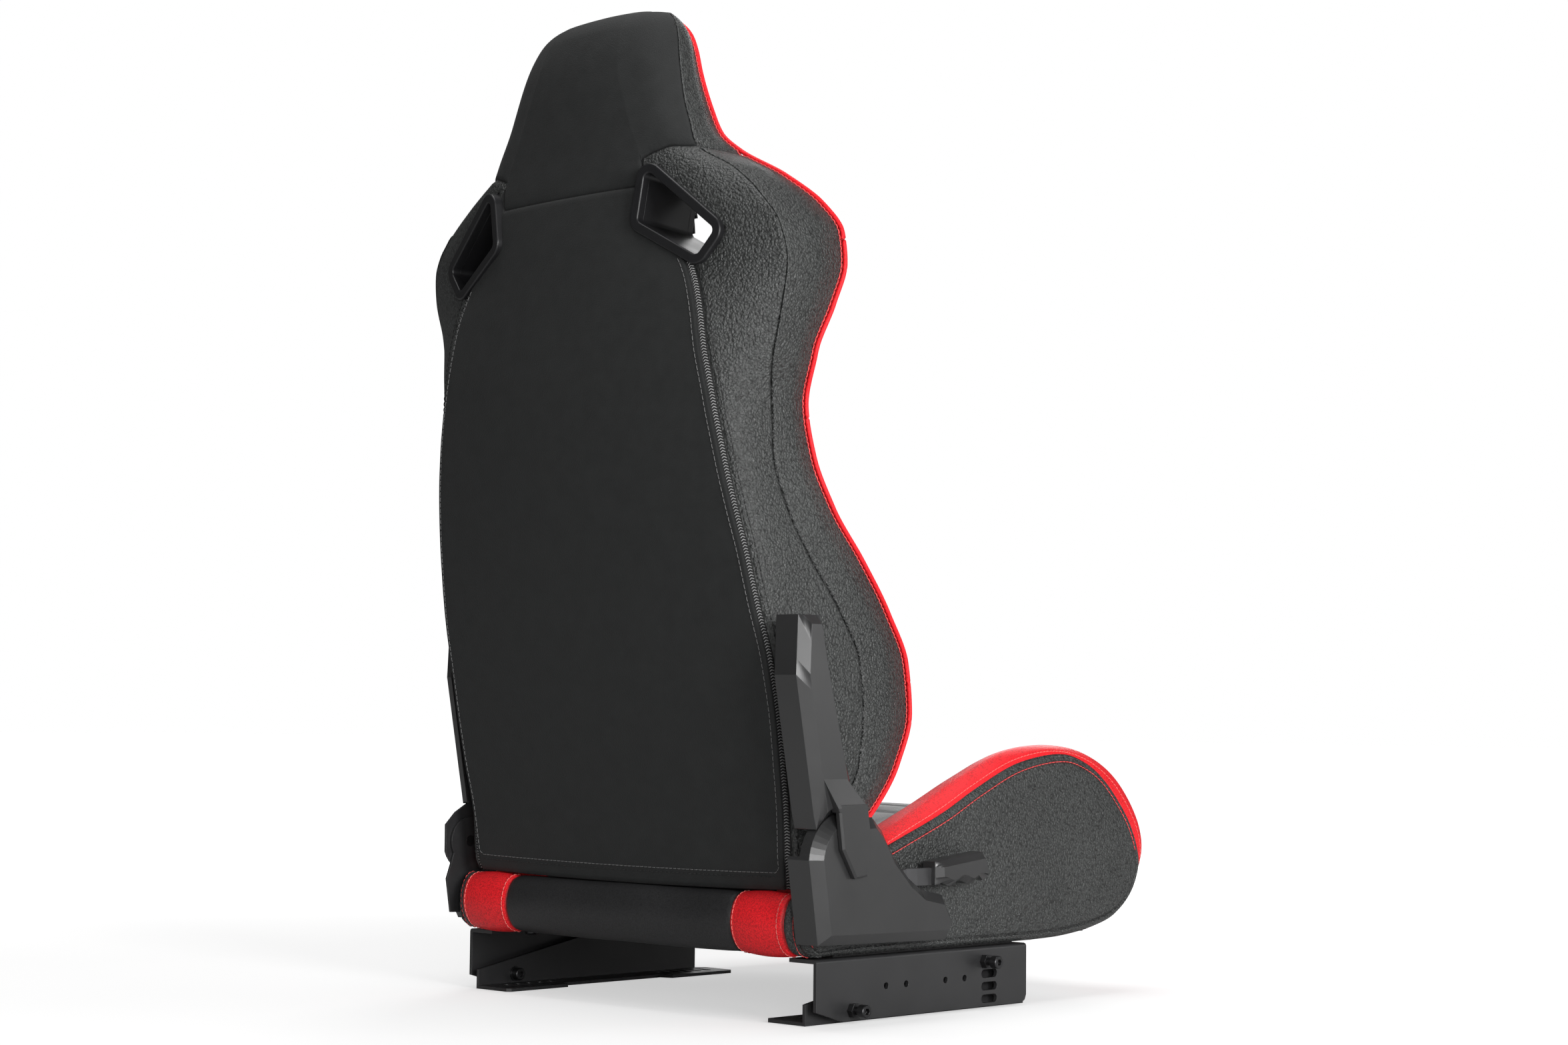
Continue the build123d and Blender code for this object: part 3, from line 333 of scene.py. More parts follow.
def along(curve, stops):
    """Points of curve [..., n, d] at distances from its ends: stops holds (distance, from_end) or a share."""
    seg = np.linalg.norm(np.diff(curve, axis=-2), axis=-1)
    s = np.concatenate([np.zeros(seg.shape[:-1] + (1,)), np.cumsum(seg, axis=-1)], axis=-1)
    total = s[..., -1]
    result = np.empty(curve.shape[:-2] + (len(stops), curve.shape[-1]))
    flat_curve = curve.reshape(-1, curve.shape[-2], curve.shape[-1])
    flat_s, flat_total = s.reshape(-1, s.shape[-1]), total.reshape(-1)
    flat = result.reshape(-1, len(stops), curve.shape[-1])
    edge = max([d for d, kind in stops if kind != "share"] + [1e-6])
    for row in range(len(flat_s)):
        length = flat_total[row]
        squeeze = min(1.0, length / (2.6 * edge))
        place = []
        for d, kind in stops:
            if kind == "start":
                place.append(d * squeeze)
            elif kind == "end":
                place.append(length - d * squeeze)
            else:
                e = edge * squeeze
                place.append(e + d * (length - 2 * e))
        for axis in range(curve.shape[-1]):
            flat[row, :, axis] = np.interp(place, flat_s[row], flat_curve[row, :, axis])
    return result


def stops(near, middle):
    """Column places: close together near both ends of a stretch, even between."""
    out = [(0.0, "start")] + [(d, "start") for d in near]
    out += [(i / (middle + 1), "share") for i in range(1, middle + 1)]
    return out + [(d, "end") for d in reversed(near)]


def make_object(name, verts, faces, mat, body, slot=None, smooth=True, fix_normals=False):
    """Mesh object from points in millimetres."""
    mesh = bpy.data.meshes.new(name)
    mesh.from_pydata((np.asarray(verts, float) * MM).tolist(), [], [list(map(int, f)) for f in faces])
    mesh.validate()
    if fix_normals:
        bm = bmesh.new()
        bm.from_mesh(mesh)
        bmesh.ops.recalc_face_normals(bm, faces=bm.faces)
        bm.to_mesh(mesh)
        bm.free()
    mesh.materials.append(mat)
    if smooth:
        mesh.polygons.foreach_set("use_smooth", [True] * len(mesh.polygons))
    mesh.update()
    obj = bpy.data.objects.new(name, mesh)
    bpy.context.scene.collection.objects.link(obj)
    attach(obj, body)
    return obj


def set_attribute(obj, values):
    """Distance to the nearest seam, in millimetres, for the material, which paints shade darker near seams.
    """
    layer = obj.data.attributes.new("seam", "FLOAT", "POINT")
    layer.data.foreach_set("value", np.asarray(values, np.float32))


def grid_faces(rows, cols, closed=False):
    """Quads of a grid of rows x cols points."""
    r = np.arange(rows - 1)[:, None]
    c = np.arange(cols if closed else cols - 1)[None, :]
    c1 = (c + 1) % cols
    quads = np.stack([r * cols + c, r * cols + c1, (r + 1) * cols + c1, (r + 1) * cols + c], axis=-1)
    return quads.reshape(-1, 4)


def grid_normals(p, closed=False):
    """Unit normals of a grid of points [rows, cols, 3]."""
    du = np.gradient(p, axis=0)
    if closed:
        dv = np.roll(p, -1, axis=1) - np.roll(p, 1, axis=1)
    else:
        dv = np.gradient(p, axis=1)
    n = np.cross(dv, du)
    return n / np.maximum(np.linalg.norm(n, axis=-1, keepdims=True), 1e-9)


def search_tree(points):
    """Search tree that finds the nearest of some points."""
    tree = KDTree(len(points))
    for i, q in enumerate(points):
        tree.insert(q, i)
    tree.balance()
    return tree


def seam_distance(points, lines):
    """Distance from each point to the nearest seam line, in millimetres."""
    tree = search_tree(np.concatenate([resample(line, 1.0) for line in lines]))
    flat = points.reshape(-1, 3)
    return np.array([tree.find(q)[2] for q in flat]).reshape(points.shape[:-1])


def distances(line):
    """Distance along a polyline at each of its points."""
    return np.concatenate([[0], np.cumsum(np.linalg.norm(np.diff(line, axis=0), axis=1))])


def read_at(places, s, values):
    """Values given at the distances s, read at other places."""
    return np.stack([np.interp(places, s, values[:, k]) for k in range(values.shape[1])], axis=1)


def resample(line, step):
    """Points along a polyline at even steps."""
    line = np.asarray(line, float)
    s = distances(line)
    count = max(2, int(s[-1] / step) + 1)
    return read_at(np.linspace(0, s[-1], count), s, line)


def sewn(distance, depth=2.0, width=1.5, puff=1.6, reach=13.0):
    """Height of a sewn skin above its frame line: a valley at the seam and a soft rise beside it."""
    return -depth * np.exp(-((distance / width) ** 2)) + puff * (1 - np.exp(-distance / reach)) - puff


def skin(name, p, n, faces, thickness, mat, body, slot, seam):
    """Closed panel of leather: the outer faces, an inner copy and the rim between."""
    p, n, seam = p.reshape(-1, 3), n.reshape(-1, 3), seam.reshape(-1)
    used = np.unique(faces)
    index = -np.ones(len(p), int)
    index[used] = np.arange(len(used))
    top = index[faces]
    k = len(used)
    verts = np.concatenate([p[used], p[used] - n[used] * thickness])
    edges = {}
    for f in top:
        for a, b in zip(f, np.roll(f, -1)):
            if a == b:
                continue
            key = (min(a, b), max(a, b))
            edges.setdefault(key, []).append((a, b))
    rim = [(b, a, a + k, b + k) for uses in edges.values() if len(uses) == 1 for a, b in uses]
    allfaces = [tuple(f) for f in top] + [tuple(f[::-1] + k) for f in top] + rim
    clean = [tuple(dict.fromkeys(f)) for f in allfaces]
    clean = [f for f in clean if len(f) > 2]
    obj = make_object(name, verts, clean, mat, body, slot)
    set_attribute(obj, np.concatenate([seam[used], seam[used]]))
    return obj


def tube(line, radius, sides=10, normals=None):
    """Verts and faces of a round tube along a polyline."""
    line = np.asarray(line, float)
    tangent = np.gradient(line, axis=0)
    tangent /= np.maximum(np.linalg.norm(tangent, axis=1, keepdims=True), 1e-9)
    up = np.array((0.0, 0.0, 1.0)) if normals is None else normals
    side = np.cross(tangent, up)
    bad = np.linalg.norm(side, axis=1) < 0.15
    side[bad] = np.cross(tangent[bad], (1.0, 0.0, 0.0))
    side /= np.linalg.norm(side, axis=1, keepdims=True)
    other = np.cross(side, tangent)
    a = np.arange(sides) / sides * 2 * math.pi
    across = side[:, None, :] * np.cos(a)[None, :, None]
    outward = other[:, None, :] * np.sin(a)[None, :, None]
    ring = radius * (across + outward)
    verts = (line[:, None, :] + ring).reshape(-1, 3)
    faces = [tuple(f) for f in grid_faces(len(line), sides, closed=True)]
    faces.append(tuple(range(sides))[::-1])
    faces.append(tuple((len(line) - 1) * sides + i for i in range(sides)))
    return verts, faces


def join(parts):
    """One list of verts and faces from several."""
    verts, faces, base = [], [], 0
    for v, f in parts:
        verts.append(v)
        faces += [tuple(i + base for i in face) for face in f]
        base += len(v)
    return np.concatenate(verts), faces


def stitches(line, normals, length=4.6, gap=1.4, radius=0.42, lift=0.15):
    """A row of sewn stitches on a line: short threads that dive into the cover at both ends."""
    line = np.asarray(line, float)
    s = distances(line)
    parts = []
    start = gap
    shape = np.array((-0.5, 0.35, 0.8, 0.8, 0.35, -0.5)) * radius + lift
    while start + length < s[-1]:
        t = np.linspace(start, start + length, len(shape))
        q, m = read_at(t, s, line), read_at(t, s, normals)
        m /= np.linalg.norm(m, axis=1, keepdims=True)
        parts.append(tube(q + m * shape[:, None], radius, 6, normals=m))
        start += length + gap
    return parts


def inflate(points, normals, held, cap):
    """Grid of a cover run as cloth filled with air: held points stay, no other moves beyond the cap."""
    flat, out = points.reshape(-1, 3), normals.reshape(-1, 3)
    quads = grid_faces(*points.shape[:2])
    corner = flat[quads]
    facing = np.cross(corner[:, 1] - corner[:, 0], corner[:, 3] - corner[:, 0])
    if np.sum(facing * out[quads[:, 0]]) < 0:
        quads = quads[:, ::-1]
    mesh = bpy.data.meshes.new("air")
    mesh.from_pydata((flat * MM).tolist(), [], quads.tolist())
    obj = bpy.data.objects.new("air", mesh)
    scene = bpy.context.scene
    scene.collection.objects.link(obj)
    obj.vertex_groups.new(name="held").add(np.flatnonzero(held.reshape(-1)).tolist(), 1.0, "REPLACE")
    modifier = obj.modifiers.new("air", "CLOTH")
    modifier.settings.vertex_group_mass = "held"
    modifier.settings.effector_weights.gravity = 0
    modifier.settings.use_pressure = True
    modifier.settings.uniform_pressure_force = 4.0
    for tick in range(1, 21):
        scene.frame_set(tick)
    blown = obj.evaluated_get(bpy.context.evaluated_depsgraph_get()).to_mesh()
    moved = np.array([v.co[:] for v in blown.vertices]) / MM - flat
    bpy.data.objects.remove(obj)
    scene.frame_set(1)
    size = np.maximum(np.linalg.norm(moved, axis=1, keepdims=True), 1e-6)
    return (flat + moved * cap * np.tanh(size / cap) / size).reshape(points.shape)


# ---- backrest cover: one surface in rings, cut into its sewn panels ----
NECK = 857.0                                        # height of the neck seam at the sides
PAD_SEAMS = (215, 285, 355, 425, 495, 565, 640, 715)
PAD_CAP, HELD_NEAR_SEAM = 7.0, 4.0                  # cloth: the most a point may move, and what stays
VENT_BELOW, HEM = 742, 144                          # heights of the vents' lower corner and of the hem
levels = np.concatenate([np.linspace(130.5, NECK, 190), np.linspace(NECK, 985, 36)[1:],
                         np.linspace(985, 1005, 9)[1:], np.linspace(1005, 1012, 8)[1:]])
neck_row = 189
measures = pchip(SLICES[:, 0], SLICES[:, 1:], levels)
yc, xz, yz, xr, yr, xo, yo, xp, yp, xi, yi = measures.T


def stack(*pairs):
    """Curves [rows, points, 2] from pairs of row arrays."""
    return np.stack([np.stack(np.broadcast_arrays(a, b), axis=-1) for a, b in pairs], axis=-2)


share = np.linspace(-1, 1, 121)
rear_curve = np.stack([xz[:, None] * share, yc[:, None] - (yc - yz)[:, None] * np.abs(share) ** 2.2], axis=-1)
rear_side = through(stack((xz, yz), (xr, yr), (xo, yo)), 30)
mid_x, mid_y = (xo + xp) / 2 + 2.5, (yo + yp) / 2
front_side = through(stack((xo, yo), (mid_x, mid_y), (xp, yp + 2)), 30)
crown_x, crown_y = xp - 17, yp - 5
hollow_x = xi + 0.62 * (crown_x - xi)
hollow_y = yi + 0.40 * (crown_y - yi)
wing_front = through(stack((xp, yp + 2), (xp - 5, yp - 2.5), (crown_x, crown_y), (hollow_x, hollow_y),
                           (xi, yi)), 16)
pad_depth = 10 + 8 * np.sin(np.clip((levels - 130) / 730, 0, 1) * math.pi)
pad_bulge = pad_depth[:, None] * (1 - share**2) ** 0.6
pad_curve = np.stack([xi[:, None] * -share, yi[:, None] - pad_bulge], axis=-1)

NEAR = (0.9, 2.0, 3.4, 5.2, 7.6, 9.0, 10.6, 13.0)
rear_stops = stops(NEAR, 44)
side_stops = stops(NEAR, 14)
front_stops = stops(NEAR, 12)
wing_stops = stops((1.2, 3.0, 5.5, 8.5, 12.0), 14)
pad_stops = stops((1.2, 3.0, 5.5, 9.0), 40)


def mirrored(curve):
    """The same stretch on the other side, run the other way."""
    return curve[..., ::-1, :] * np.array((-1.0, 1.0))


stretches = [
    ("A", along(rear_curve, rear_stops)),
    ("B", along(rear_side, side_stops)),
    ("C", along(front_side, front_stops)),
    ("D", along(wing_front, wing_stops)),
    ("E", along(pad_curve, pad_stops)),
    ("d", mirrored(along(wing_front, wing_stops))),
    ("c", mirrored(along(front_side, front_stops))),
    ("b", mirrored(along(rear_side, side_stops))),
]
flat = np.concatenate([g[:, :-1] for _, g in stretches], axis=1)
segment = np.concatenate([[letter] * (g.shape[1] - 1) for letter, g in stretches])
part = np.concatenate([np.arange(g.shape[1] - 1) / (g.shape[1] - 1) for _, g in stretches])
columns = flat.shape[1]

# The neck seam is low between the vents and rises to the side seams.
drop = np.zeros(columns)
in_a = segment == "A"
side_share = np.abs(part[in_a] * 2 - 1)
drop[in_a] = 1 - 0.7 * np.clip((side_share - 0.82) / 0.18, 0, 1) ** 1.5
drop[segment == "B"] = 0.3 * np.clip(1 - part[segment == "B"] / 0.55, 0, 1)
drop[segment == "b"] = 0.3 * np.clip(1 - (1 - part[segment == "b"]) / 0.55, 0, 1)
lowered = levels[:, None] - 40 * drop[None, :] * np.exp(-(((levels[:, None] - NECK) / 60) ** 2))
shell = np.empty((len(levels), columns, 3))
for c in range(columns):
    shell[:, c, 0] = np.interp(lowered[:, c], levels, flat[:, c, 0])
    shell[:, c, 1] = np.interp(lowered[:, c], levels, flat[:, c, 1])
shell[:, :, 2] = lowered
# The panel's lower edge sags a little between its corners.
across = np.clip(np.abs(shell[..., 0]) / 225, 0, 1)
sag = 3.0 * (1 - across**2) * np.clip(1 - (shell[..., 2] - 130) / 60, 0, 1)
shell[..., 2] -= np.where(in_a[None, :], sag, 0)

top_centre = np.array((0.0, 214.0, 1014.0))
cap = []
for f in (0.3, 0.62, 0.97):
    cap.append(shell[-1] + (top_centre - shell[-1]) * f + np.array((0, 0, 0.9 * math.sin(f * math.pi))))
shell = np.concatenate([shell, np.array(cap)])
rows = len(shell)
normals = grid_normals(shell, closed=True)
centre_line = np.stack([np.zeros(rows), shell[:, :, 1].mean(axis=1), shell[:, :, 2].mean(axis=1)], axis=1)
if np.mean(np.sum(normals * (shell - centre_line[:, None, :]), axis=-1)) < 0:
    normals = -normals
normals[-3:] = (0, 0, 1)


def first(letter):
    """Column where a stretch starts."""
    return int(np.argmax(segment == letter))


ends = {"zip": (first("B"), first("A")), "side": (first("C"), first("b")), "piping": (first("D"), first("c")),
        "foot": (first("E"), first("d"))}
vent_row = int(np.searchsorted(levels, VENT_BELOW))
zip_lines = [shell[:vent_row, c] for c in ends["zip"]]
side_lines = [shell[:len(levels), c] for c in ends["side"]]
piping_lines = [shell[:len(levels), c] for c in ends["piping"]]
foot_lines = [shell[:len(levels), c] for c in ends["foot"]]
neck_line = [np.concatenate([shell[neck_row], shell[neck_row, :1]])]
pad_rows = [int(np.searchsorted(levels, z)) for z in PAD_SEAMS]
e_cols = np.where(segment == "E")[0]
channels = [shell[r, e_cols] for r in pad_rows]
lines = side_lines + piping_lines + foot_lines + neck_line + channels
near_seam = seam_distance(shell, lines)
near_zip = seam_distance(shell, zip_lines)
pad_area = (slice(0, neck_row + 1), e_cols)
held = near_seam[pad_area] < HELD_NEAR_SEAM
held[0], held[:, 0], held[:, -1] = True, True, True
shell[pad_area] = inflate(shell[pad_area], normals[pad_area], held, PAD_CAP)
height = sewn(near_seam)
in_b = np.isin(segment, ["B", "b"])[None, :]
zip_fade = np.clip((748 - shell[..., 2]) / 10, 0, 1)
trough = -2.4 * np.clip((9.6 - near_zip) / 1.6, 0, 1)
height = height + np.where(in_b, trough, 0) * zip_fade
panel_edge = 1.3 - 2.2 * np.exp(-((near_zip / 1.2) ** 2))
is_panel = in_a[None, :] & (np.arange(rows)[:, None] <= neck_row)
panel_height = panel_edge * np.clip((NECK - 32 - shell[..., 2]) / 12, 0, 1)
height = np.where(is_panel, height + panel_height, height)
half_width = np.concatenate([xo, np.full(3, xo[-1])])[:, None]
from_middle = np.clip(np.abs(shell[..., 0]) / half_width, 0, 1)
head_rise = np.clip((shell[..., 2] - 870) / 50, 0, 1) * np.clip((1012 - shell[..., 2]) / 25, 0, 1)
head_swell = 3.0 * head_rise * (1 - from_middle**2) * np.isin(segment, ["A", "B", "b"])[None, :]
cover = shell + normals * (height + head_swell)[..., None]
cover_normals = grid_normals(cover, closed=True)
cover_normals *= np.sign(np.sum(cover_normals * normals, axis=-1))[..., None]
cover_normals[-3:] = (0, 0, 1)
# Distance to the nearest seam, and to the zip below the vents, which the materials use for painted shade near
# seams.
seam_shade_distance = np.minimum(near_seam, np.where(zip_fade > 0, near_zip, 99))

# Openings for the vent tunnels, cut a little inside the bezels' outer edge.
outline = np.array([(x - VENT_CENTRE[0], z - VENT_CENTRE[2]) for x, z in VENT])
faces_all = grid_faces(rows, columns, closed=True)
face_row = np.repeat(np.arange(rows - 1), columns)
face_col = np.tile(np.arange(columns), rows - 1)
middle = cover.reshape(-1, 3)[faces_all].mean(axis=1)
lean = math.tan(math.radians(VENT_TURN))
local_x = np.abs(middle[:, 0]) - VENT_CENTRE[0] - (middle[:, 1] - VENT_CENTRE[1]) * lean
local_z = middle[:, 2] - VENT_CENTRE[2]


def inside(px, pz, polygon, margin):
    """True where a point is inside a convex outline by at least the margin."""
    ok = np.ones(len(px), bool)
    mid = polygon.mean(axis=0)
    for a, b in zip(polygon, np.roll(polygon, -1, axis=0)):
        edge = (b - a) / np.linalg.norm(b - a)
        out = np.array((edge[1], -edge[0]))
        if np.dot(out, mid - a) > 0:
            out = -out
        ok &= (px - a[0]) * out[0] + (pz - a[1]) * out[1] < -margin
    return ok


open_face = inside(local_x, local_z, outline, 6.0)
seg_of = segment[face_col]
below = face_row < neck_row
capped = face_row >= len(levels) - 1


def zone(letters, low=None):
    """Faces of some stretches, below the neck seam, above it, or both."""
    pick = np.isin(seg_of, letters) & ~open_face & ~capped
    if low is not None:
        pick &= below if low else ~below
    return faces_all[pick]


def red_edge(letters, wanted):
    """Faces of the front edge: the first few columns beside the piping."""
    near = np.isin(seg_of, letters) & ~open_face & ~capped
    share_from_edge = np.where(np.char.isupper(seg_of), part[face_col], 1 - part[face_col] - 1.0 / 24)
    band = share_from_edge < 0.24
    return faces_all[near & (band if wanted else ~band)]


BACK = "backrest"
for label, picked, mat, slot, thick in (
    ("back_panel_cover", zone(["A"], True), PANEL, "panel_cloth", 2.6),
    ("head_rear_cover", zone(["A", "B", "b"], False), PANEL, "black_padding", 2.4),
    ("wing_rear_cover_left", zone(["B"], True), PEBBLE, "black_padding", 2.2),
    ("wing_rear_cover_right", zone(["b"], True), PEBBLE, "black_padding", 2.2),
    ("wing_side_cover_left", zone(["C"], True), PEBBLE, "black_padding", 2.2),
    ("wing_side_cover_right", zone(["c"], True), PEBBLE, "black_padding", 2.2),
    ("head_side_cover_left", zone(["C"], False), PEBBLE, "black_padding", 2.2),
    ("head_side_cover_right", zone(["c"], False), PEBBLE, "black_padding", 2.2),
    ("front_edge_left", red_edge(["D"], True), REDEDGE, "red_piping", 2.2),
    ("front_edge_right", red_edge(["d"], True), REDEDGE, "red_piping", 2.2),
    ("wing_front_cover_left", red_edge(["D"], False), PEBBLE, "black_padding", 2.2),
    ("wing_front_cover_right", red_edge(["d"], False), PEBBLE, "black_padding", 2.2),
    ("backrest_pad_cover", zone(["E"], True), SMOOTH, "grey_padding", 2.2),
    ("head_front_cover", zone(["E"], False), SMOOTH, "black_padding", 2.2),
    ("head_top_cover", faces_all[capped], PEBBLE, "black_padding", 2.2),
):
    skin(label, cover, cover_normals, picked, thick, mat, BACK, slot, seam_shade_distance)

underside_middle = cover[0].mean(axis=0) + np.array((0, 0, 4.0))
underside = np.concatenate([cover[0] + np.array((0, 0, 0.4)), [underside_middle]])
fan = [(i, (i + 1) % columns, columns) for i in range(columns)]
under = make_object("backrest_underside", underside, fan, TAPE, BACK, "panel_cloth", fix_normals=True)
solid = under.modifiers.new("thick", "SOLIDIFY")
solid.thickness = 0.0015

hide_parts("back_panel")
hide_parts("head_pad")
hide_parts("backrest_pad")
for side in ("left", "right"):
    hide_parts("backrest_wing_" + side)
    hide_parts("piping_" + side)


def follow(column, offset, rows_low, rows_high, lift=0.0):
    """A line on the cover at a distance from a seam column, with its normals. A negative offset runs back."""
    step = 1 if offset >= 0 else -1
    reach = [(column + step * i) % columns for i in range(26)]
    strip = cover[rows_low:rows_high, reach]
    strip_n = cover_normals[rows_low:rows_high, reach]
    place = [abs(offset)]
    runs = [distances(one) for one in strip]
    line = np.concatenate([read_at(place, s, one) for s, one in zip(runs, strip)])
    norm = np.concatenate([read_at(place, s, one) for s, one in zip(runs, strip_n)])
    norm /= np.linalg.norm(norm, axis=1, keepdims=True)
    return line + norm * lift, norm


hem_row = int(np.searchsorted(levels, HEM))
grey_parts, dark_parts, red_parts, teeth = [], [], [], []
left_line, left_n = follow(ends["zip"][0], -7.0, hem_row, vent_row)
right_line, right_n = follow(ends["zip"][1], 7.0, hem_row, vent_row)
a_cols = np.where(in_a)[0]
hem_cols = [c for c in a_cols if abs(cover[hem_row, c, 0]) < abs(left_line[0, 0]) - 4]
hem_line, hem_n = cover[hem_row, hem_cols], cover_normals[hem_row, hem_cols]
if hem_line[0, 0] > hem_line[-1, 0]:
    hem_line, hem_n = hem_line[::-1], hem_n[::-1]
border = np.concatenate([right_line[::-1][:-1], hem_line, left_line[1:]])
border_n = np.concatenate([right_n[::-1][:-1], hem_n, left_n[1:]])
grey_parts += stitches(border, border_n)
low_hem, low_hem_n = cover[hem_row - 1, hem_cols], cover_normals[hem_row - 1, hem_cols]
dark_parts += stitches(low_hem, low_hem_n)
for side, column, sign in (("left", ends["zip"][0], 1), ("right", ends["zip"][1], -1)):
    edge_line, edge_n = follow(column, sign * 15.5, 2, vent_row)
    dark_parts += stitches(edge_line, edge_n)
    mid_line, mid_n = follow(column, sign * 4.3, 0, vent_row, 0.9)
    mid_line = resample(mid_line, 1.45)
    count = len(mid_line)
    to_share, from_share = np.linspace(0, 1, count), np.linspace(0, 1, len(mid_n))
    norm = read_at(to_share, from_share, mid_n)
    tangent = np.gradient(mid_line, axis=0)
    tangent /= np.linalg.norm(tangent, axis=1, keepdims=True)
    side_way = np.cross(tangent, norm)
    shape = ((-2.6, -0.6, -0.5), (-1.5, 0.0, 0.35), (0.0, 0.9, 0.6), (1.5, 0.0, 0.35), (2.6, -0.6, -0.5))
    for i in range(0, count, 2):
        line = [mid_line[i] + side_way[i] * a + tangent[i] * b + norm[i] * c for a, b, c in shape]
        teeth.append(tube(np.array(line), 0.5, 5, normals=np.repeat(norm[i:i + 1], 5, axis=0)))
    strips = [follow(column, sign * o, 0, vent_row, 0.5) for o in np.linspace(0.7, 8.4, 7)]
    p = np.stack([s[0] for s in strips], axis=1)
    n = np.stack([s[1] for s in strips], axis=1)
    far = np.full(p.shape[:2], 9.0)
    tape = skin("zip_tape_" + side, p, n, grid_faces(*p.shape[:2]), 0.8, TAPE, BACK, "zip_tape", far)
    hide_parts("zip_" + side)
for side, column, sign in (("left", ends["piping"][0], -1), ("right", ends["piping"][1], 1)):
    edge_line, edge_n = follow(column, sign * 5.4, 6, len(levels) - 2)
    red_parts += stitches(edge_line, edge_n, 5.2, 0.5, 0.62, 0.25)
    bead = shell[3:len(levels) - 1, column] + normals[3:len(levels) - 1, column] * 0.3
    make_object("piping_bead_" + side, *tube(resample(bead, 3.0), 2.3), REDEDGE, BACK, "red_piping")
for label, parts, mat, slot in (("panel_stitches", grey_parts, THREAD, "zip_tape"),
                                ("dark_stitches", dark_parts, DARKTHREAD, "zip_tape"),
                                ("edge_stitches", red_parts, REDTHREAD, "red_piping"),
                                ("zip_teeth", teeth, TEETH, "zip_tape")):
    make_object(label, *join(parts), mat, BACK, slot)


# ---- base covers ----
CUSHION_SIDE = ((150, 98), (150, 112), (128, 136), (95, 150), (55, 158), (0, 170), (-70, 185), (-140, 194),
                (-210, 195), (-270, 188), (-320, 172), (-352, 148), (-360, 118), (-344, 88), (-316, 67))
BOLSTER_CREST = ((150, 98), (150, 116), (130, 138), (100, 158), (50, 183), (-20, 213), (-75, 238),
                 (-140, 262), (-215, 269), (-280, 259), (-335, 231), (-376, 180), (-378, 149),
                 (-350, 110), (-300, 82))
BOLSTER_SIDE = ((150, 98), (150, 116), (130, 138), (100, 156), (50, 175), (-20, 201), (-75, 226), (-140, 250),
                (-215, 259), (-277, 238), (-318, 202), (-346, 156), (-345, 138), (-331, 112), (-300, 90))
SIDE_PANEL = ((176, 66), (188, 76), (191, 92), (189, 110), (178, 122), (150, 129), (130, 137), (100, 156),
              (50, 175), (-20, 201), (-75, 226), (-140, 250), (-215, 259), (-250, 251), (-277, 238),
              (-304, 216), (-332, 184), (-346, 154), (-348, 139), (-336, 111), (-307, 87), (-267, 75),
              (-213, 68), (-160, 66))
REAR_ROLL = ((163, 66), (180, 66), (191, 71), (198, 81), (201.5, 94), (200, 108), (194, 120),
             (184, 125.5), (163, 123))
BASE = "base"


def top_curve(outline, count):
    """Even points along an open side outline, run as a smooth curve."""
    dense = through(np.array(outline, float), 24)
    s = distances(dense)
    return read_at(np.linspace(0, s[-1], count), s, dense)


def station_points(xs, outlines, places, count):
    """Grid of points [stations, count, 3] from outlines at several X."""
    curves = np.stack([top_curve(o, count) for o in outlines]).reshape(len(xs), -1)
    shape = pchip(np.array(xs, float), curves, np.array(places, float)).reshape(len(places), count, 2)
    x = np.repeat(np.array(places, float)[:, None], count, axis=1)
    return np.concatenate([x[..., None], shape], axis=-1)


def closed_loft(name, grid, mat, slot, seam=None):
    """Closed body from rings of points, with both ends filled."""
    n, m = grid.shape[:2]
    faces = [tuple(f) for f in grid_faces(n, m, closed=True)]
    ends_at = np.array([grid[0].mean(axis=0), grid[-1].mean(axis=0)])
    verts = np.concatenate([grid.reshape(-1, 3), ends_at])
    faces += [(i, (i + 1) % m, n * m) for i in range(m)]
    faces += [((n - 1) * m + i, (n - 1) * m + (i + 1) % m, n * m + 1) for i in range(m)]
    obj = make_object(name, verts, faces, mat, BASE, slot, fix_normals=True)
    if seam is not None:
        set_attribute(obj, np.concatenate([seam.reshape(-1), [9, 9]]))
    return obj


def outward_normals(grid, middle, closed=True):
    """Unit normals of a grid that point away from its middle."""
    normals = grid_normals(grid, closed)
    return normals * np.sign(np.sum(normals * (grid - middle), axis=-1).mean())


def half_blend(a, b, share):
    """An outline part of the way from a to b."""
    return np.array(a, float) * (1 - share) + np.array(b, float) * share


def mirror_x(points):
    return points * np.array((-1.0, 1.0, 1.0))


def bolster(side, sign):
    """Raised red side pad of the base."""
    xs = (168.3, 190, 212, 230, 244, 254.4)
    outlines = (CUSHION_SIDE, half_blend(CUSHION_SIDE, BOLSTER_CREST, 0.5),
                half_blend(CUSHION_SIDE, BOLSTER_CREST, 0.92), BOLSTER_CREST,
                half_blend(BOLSTER_CREST, BOLSTER_SIDE, 0.35), BOLSTER_SIDE)
    outer_places = [248.5, 250.6, 252.2, 253.4, 254.1, 254.4]
    places = np.concatenate([[168.3, 169.2, 170.6, 173], np.linspace(176, 246, 26), outer_places])
    grid = station_points(xs, outlines, places, 150)
    bottom = np.linspace(grid[:, -1], grid[:, 0], 18)[1:-1].transpose(1, 0, 2)
    ring = np.concatenate([grid, bottom], axis=1)
    normals = outward_normals(ring, ring.mean(axis=(0, 1)))
    seam = seam_distance(ring, [grid[-1], grid[0]])
    rise = sewn(seam, 1.6, 1.6, 2.2, 16.0)
    ring = ring + normals * rise[..., None]
    if sign < 0:
        ring = mirror_x(ring)
        normals = mirror_x(normals)
    obj = closed_loft("base_bolster_cover_" + side, ring, REDLEATHER, "red_padding", seam)
    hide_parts("base_bolster_" + side)
    line = 6
    return stitches(ring[-line, 4:146], normals[-line, 4:146], 4.2, 1.3, 0.4, 0.1)


STITCH_DEPTH = 8.0                                  # row of stitches, in from the side panel's edge


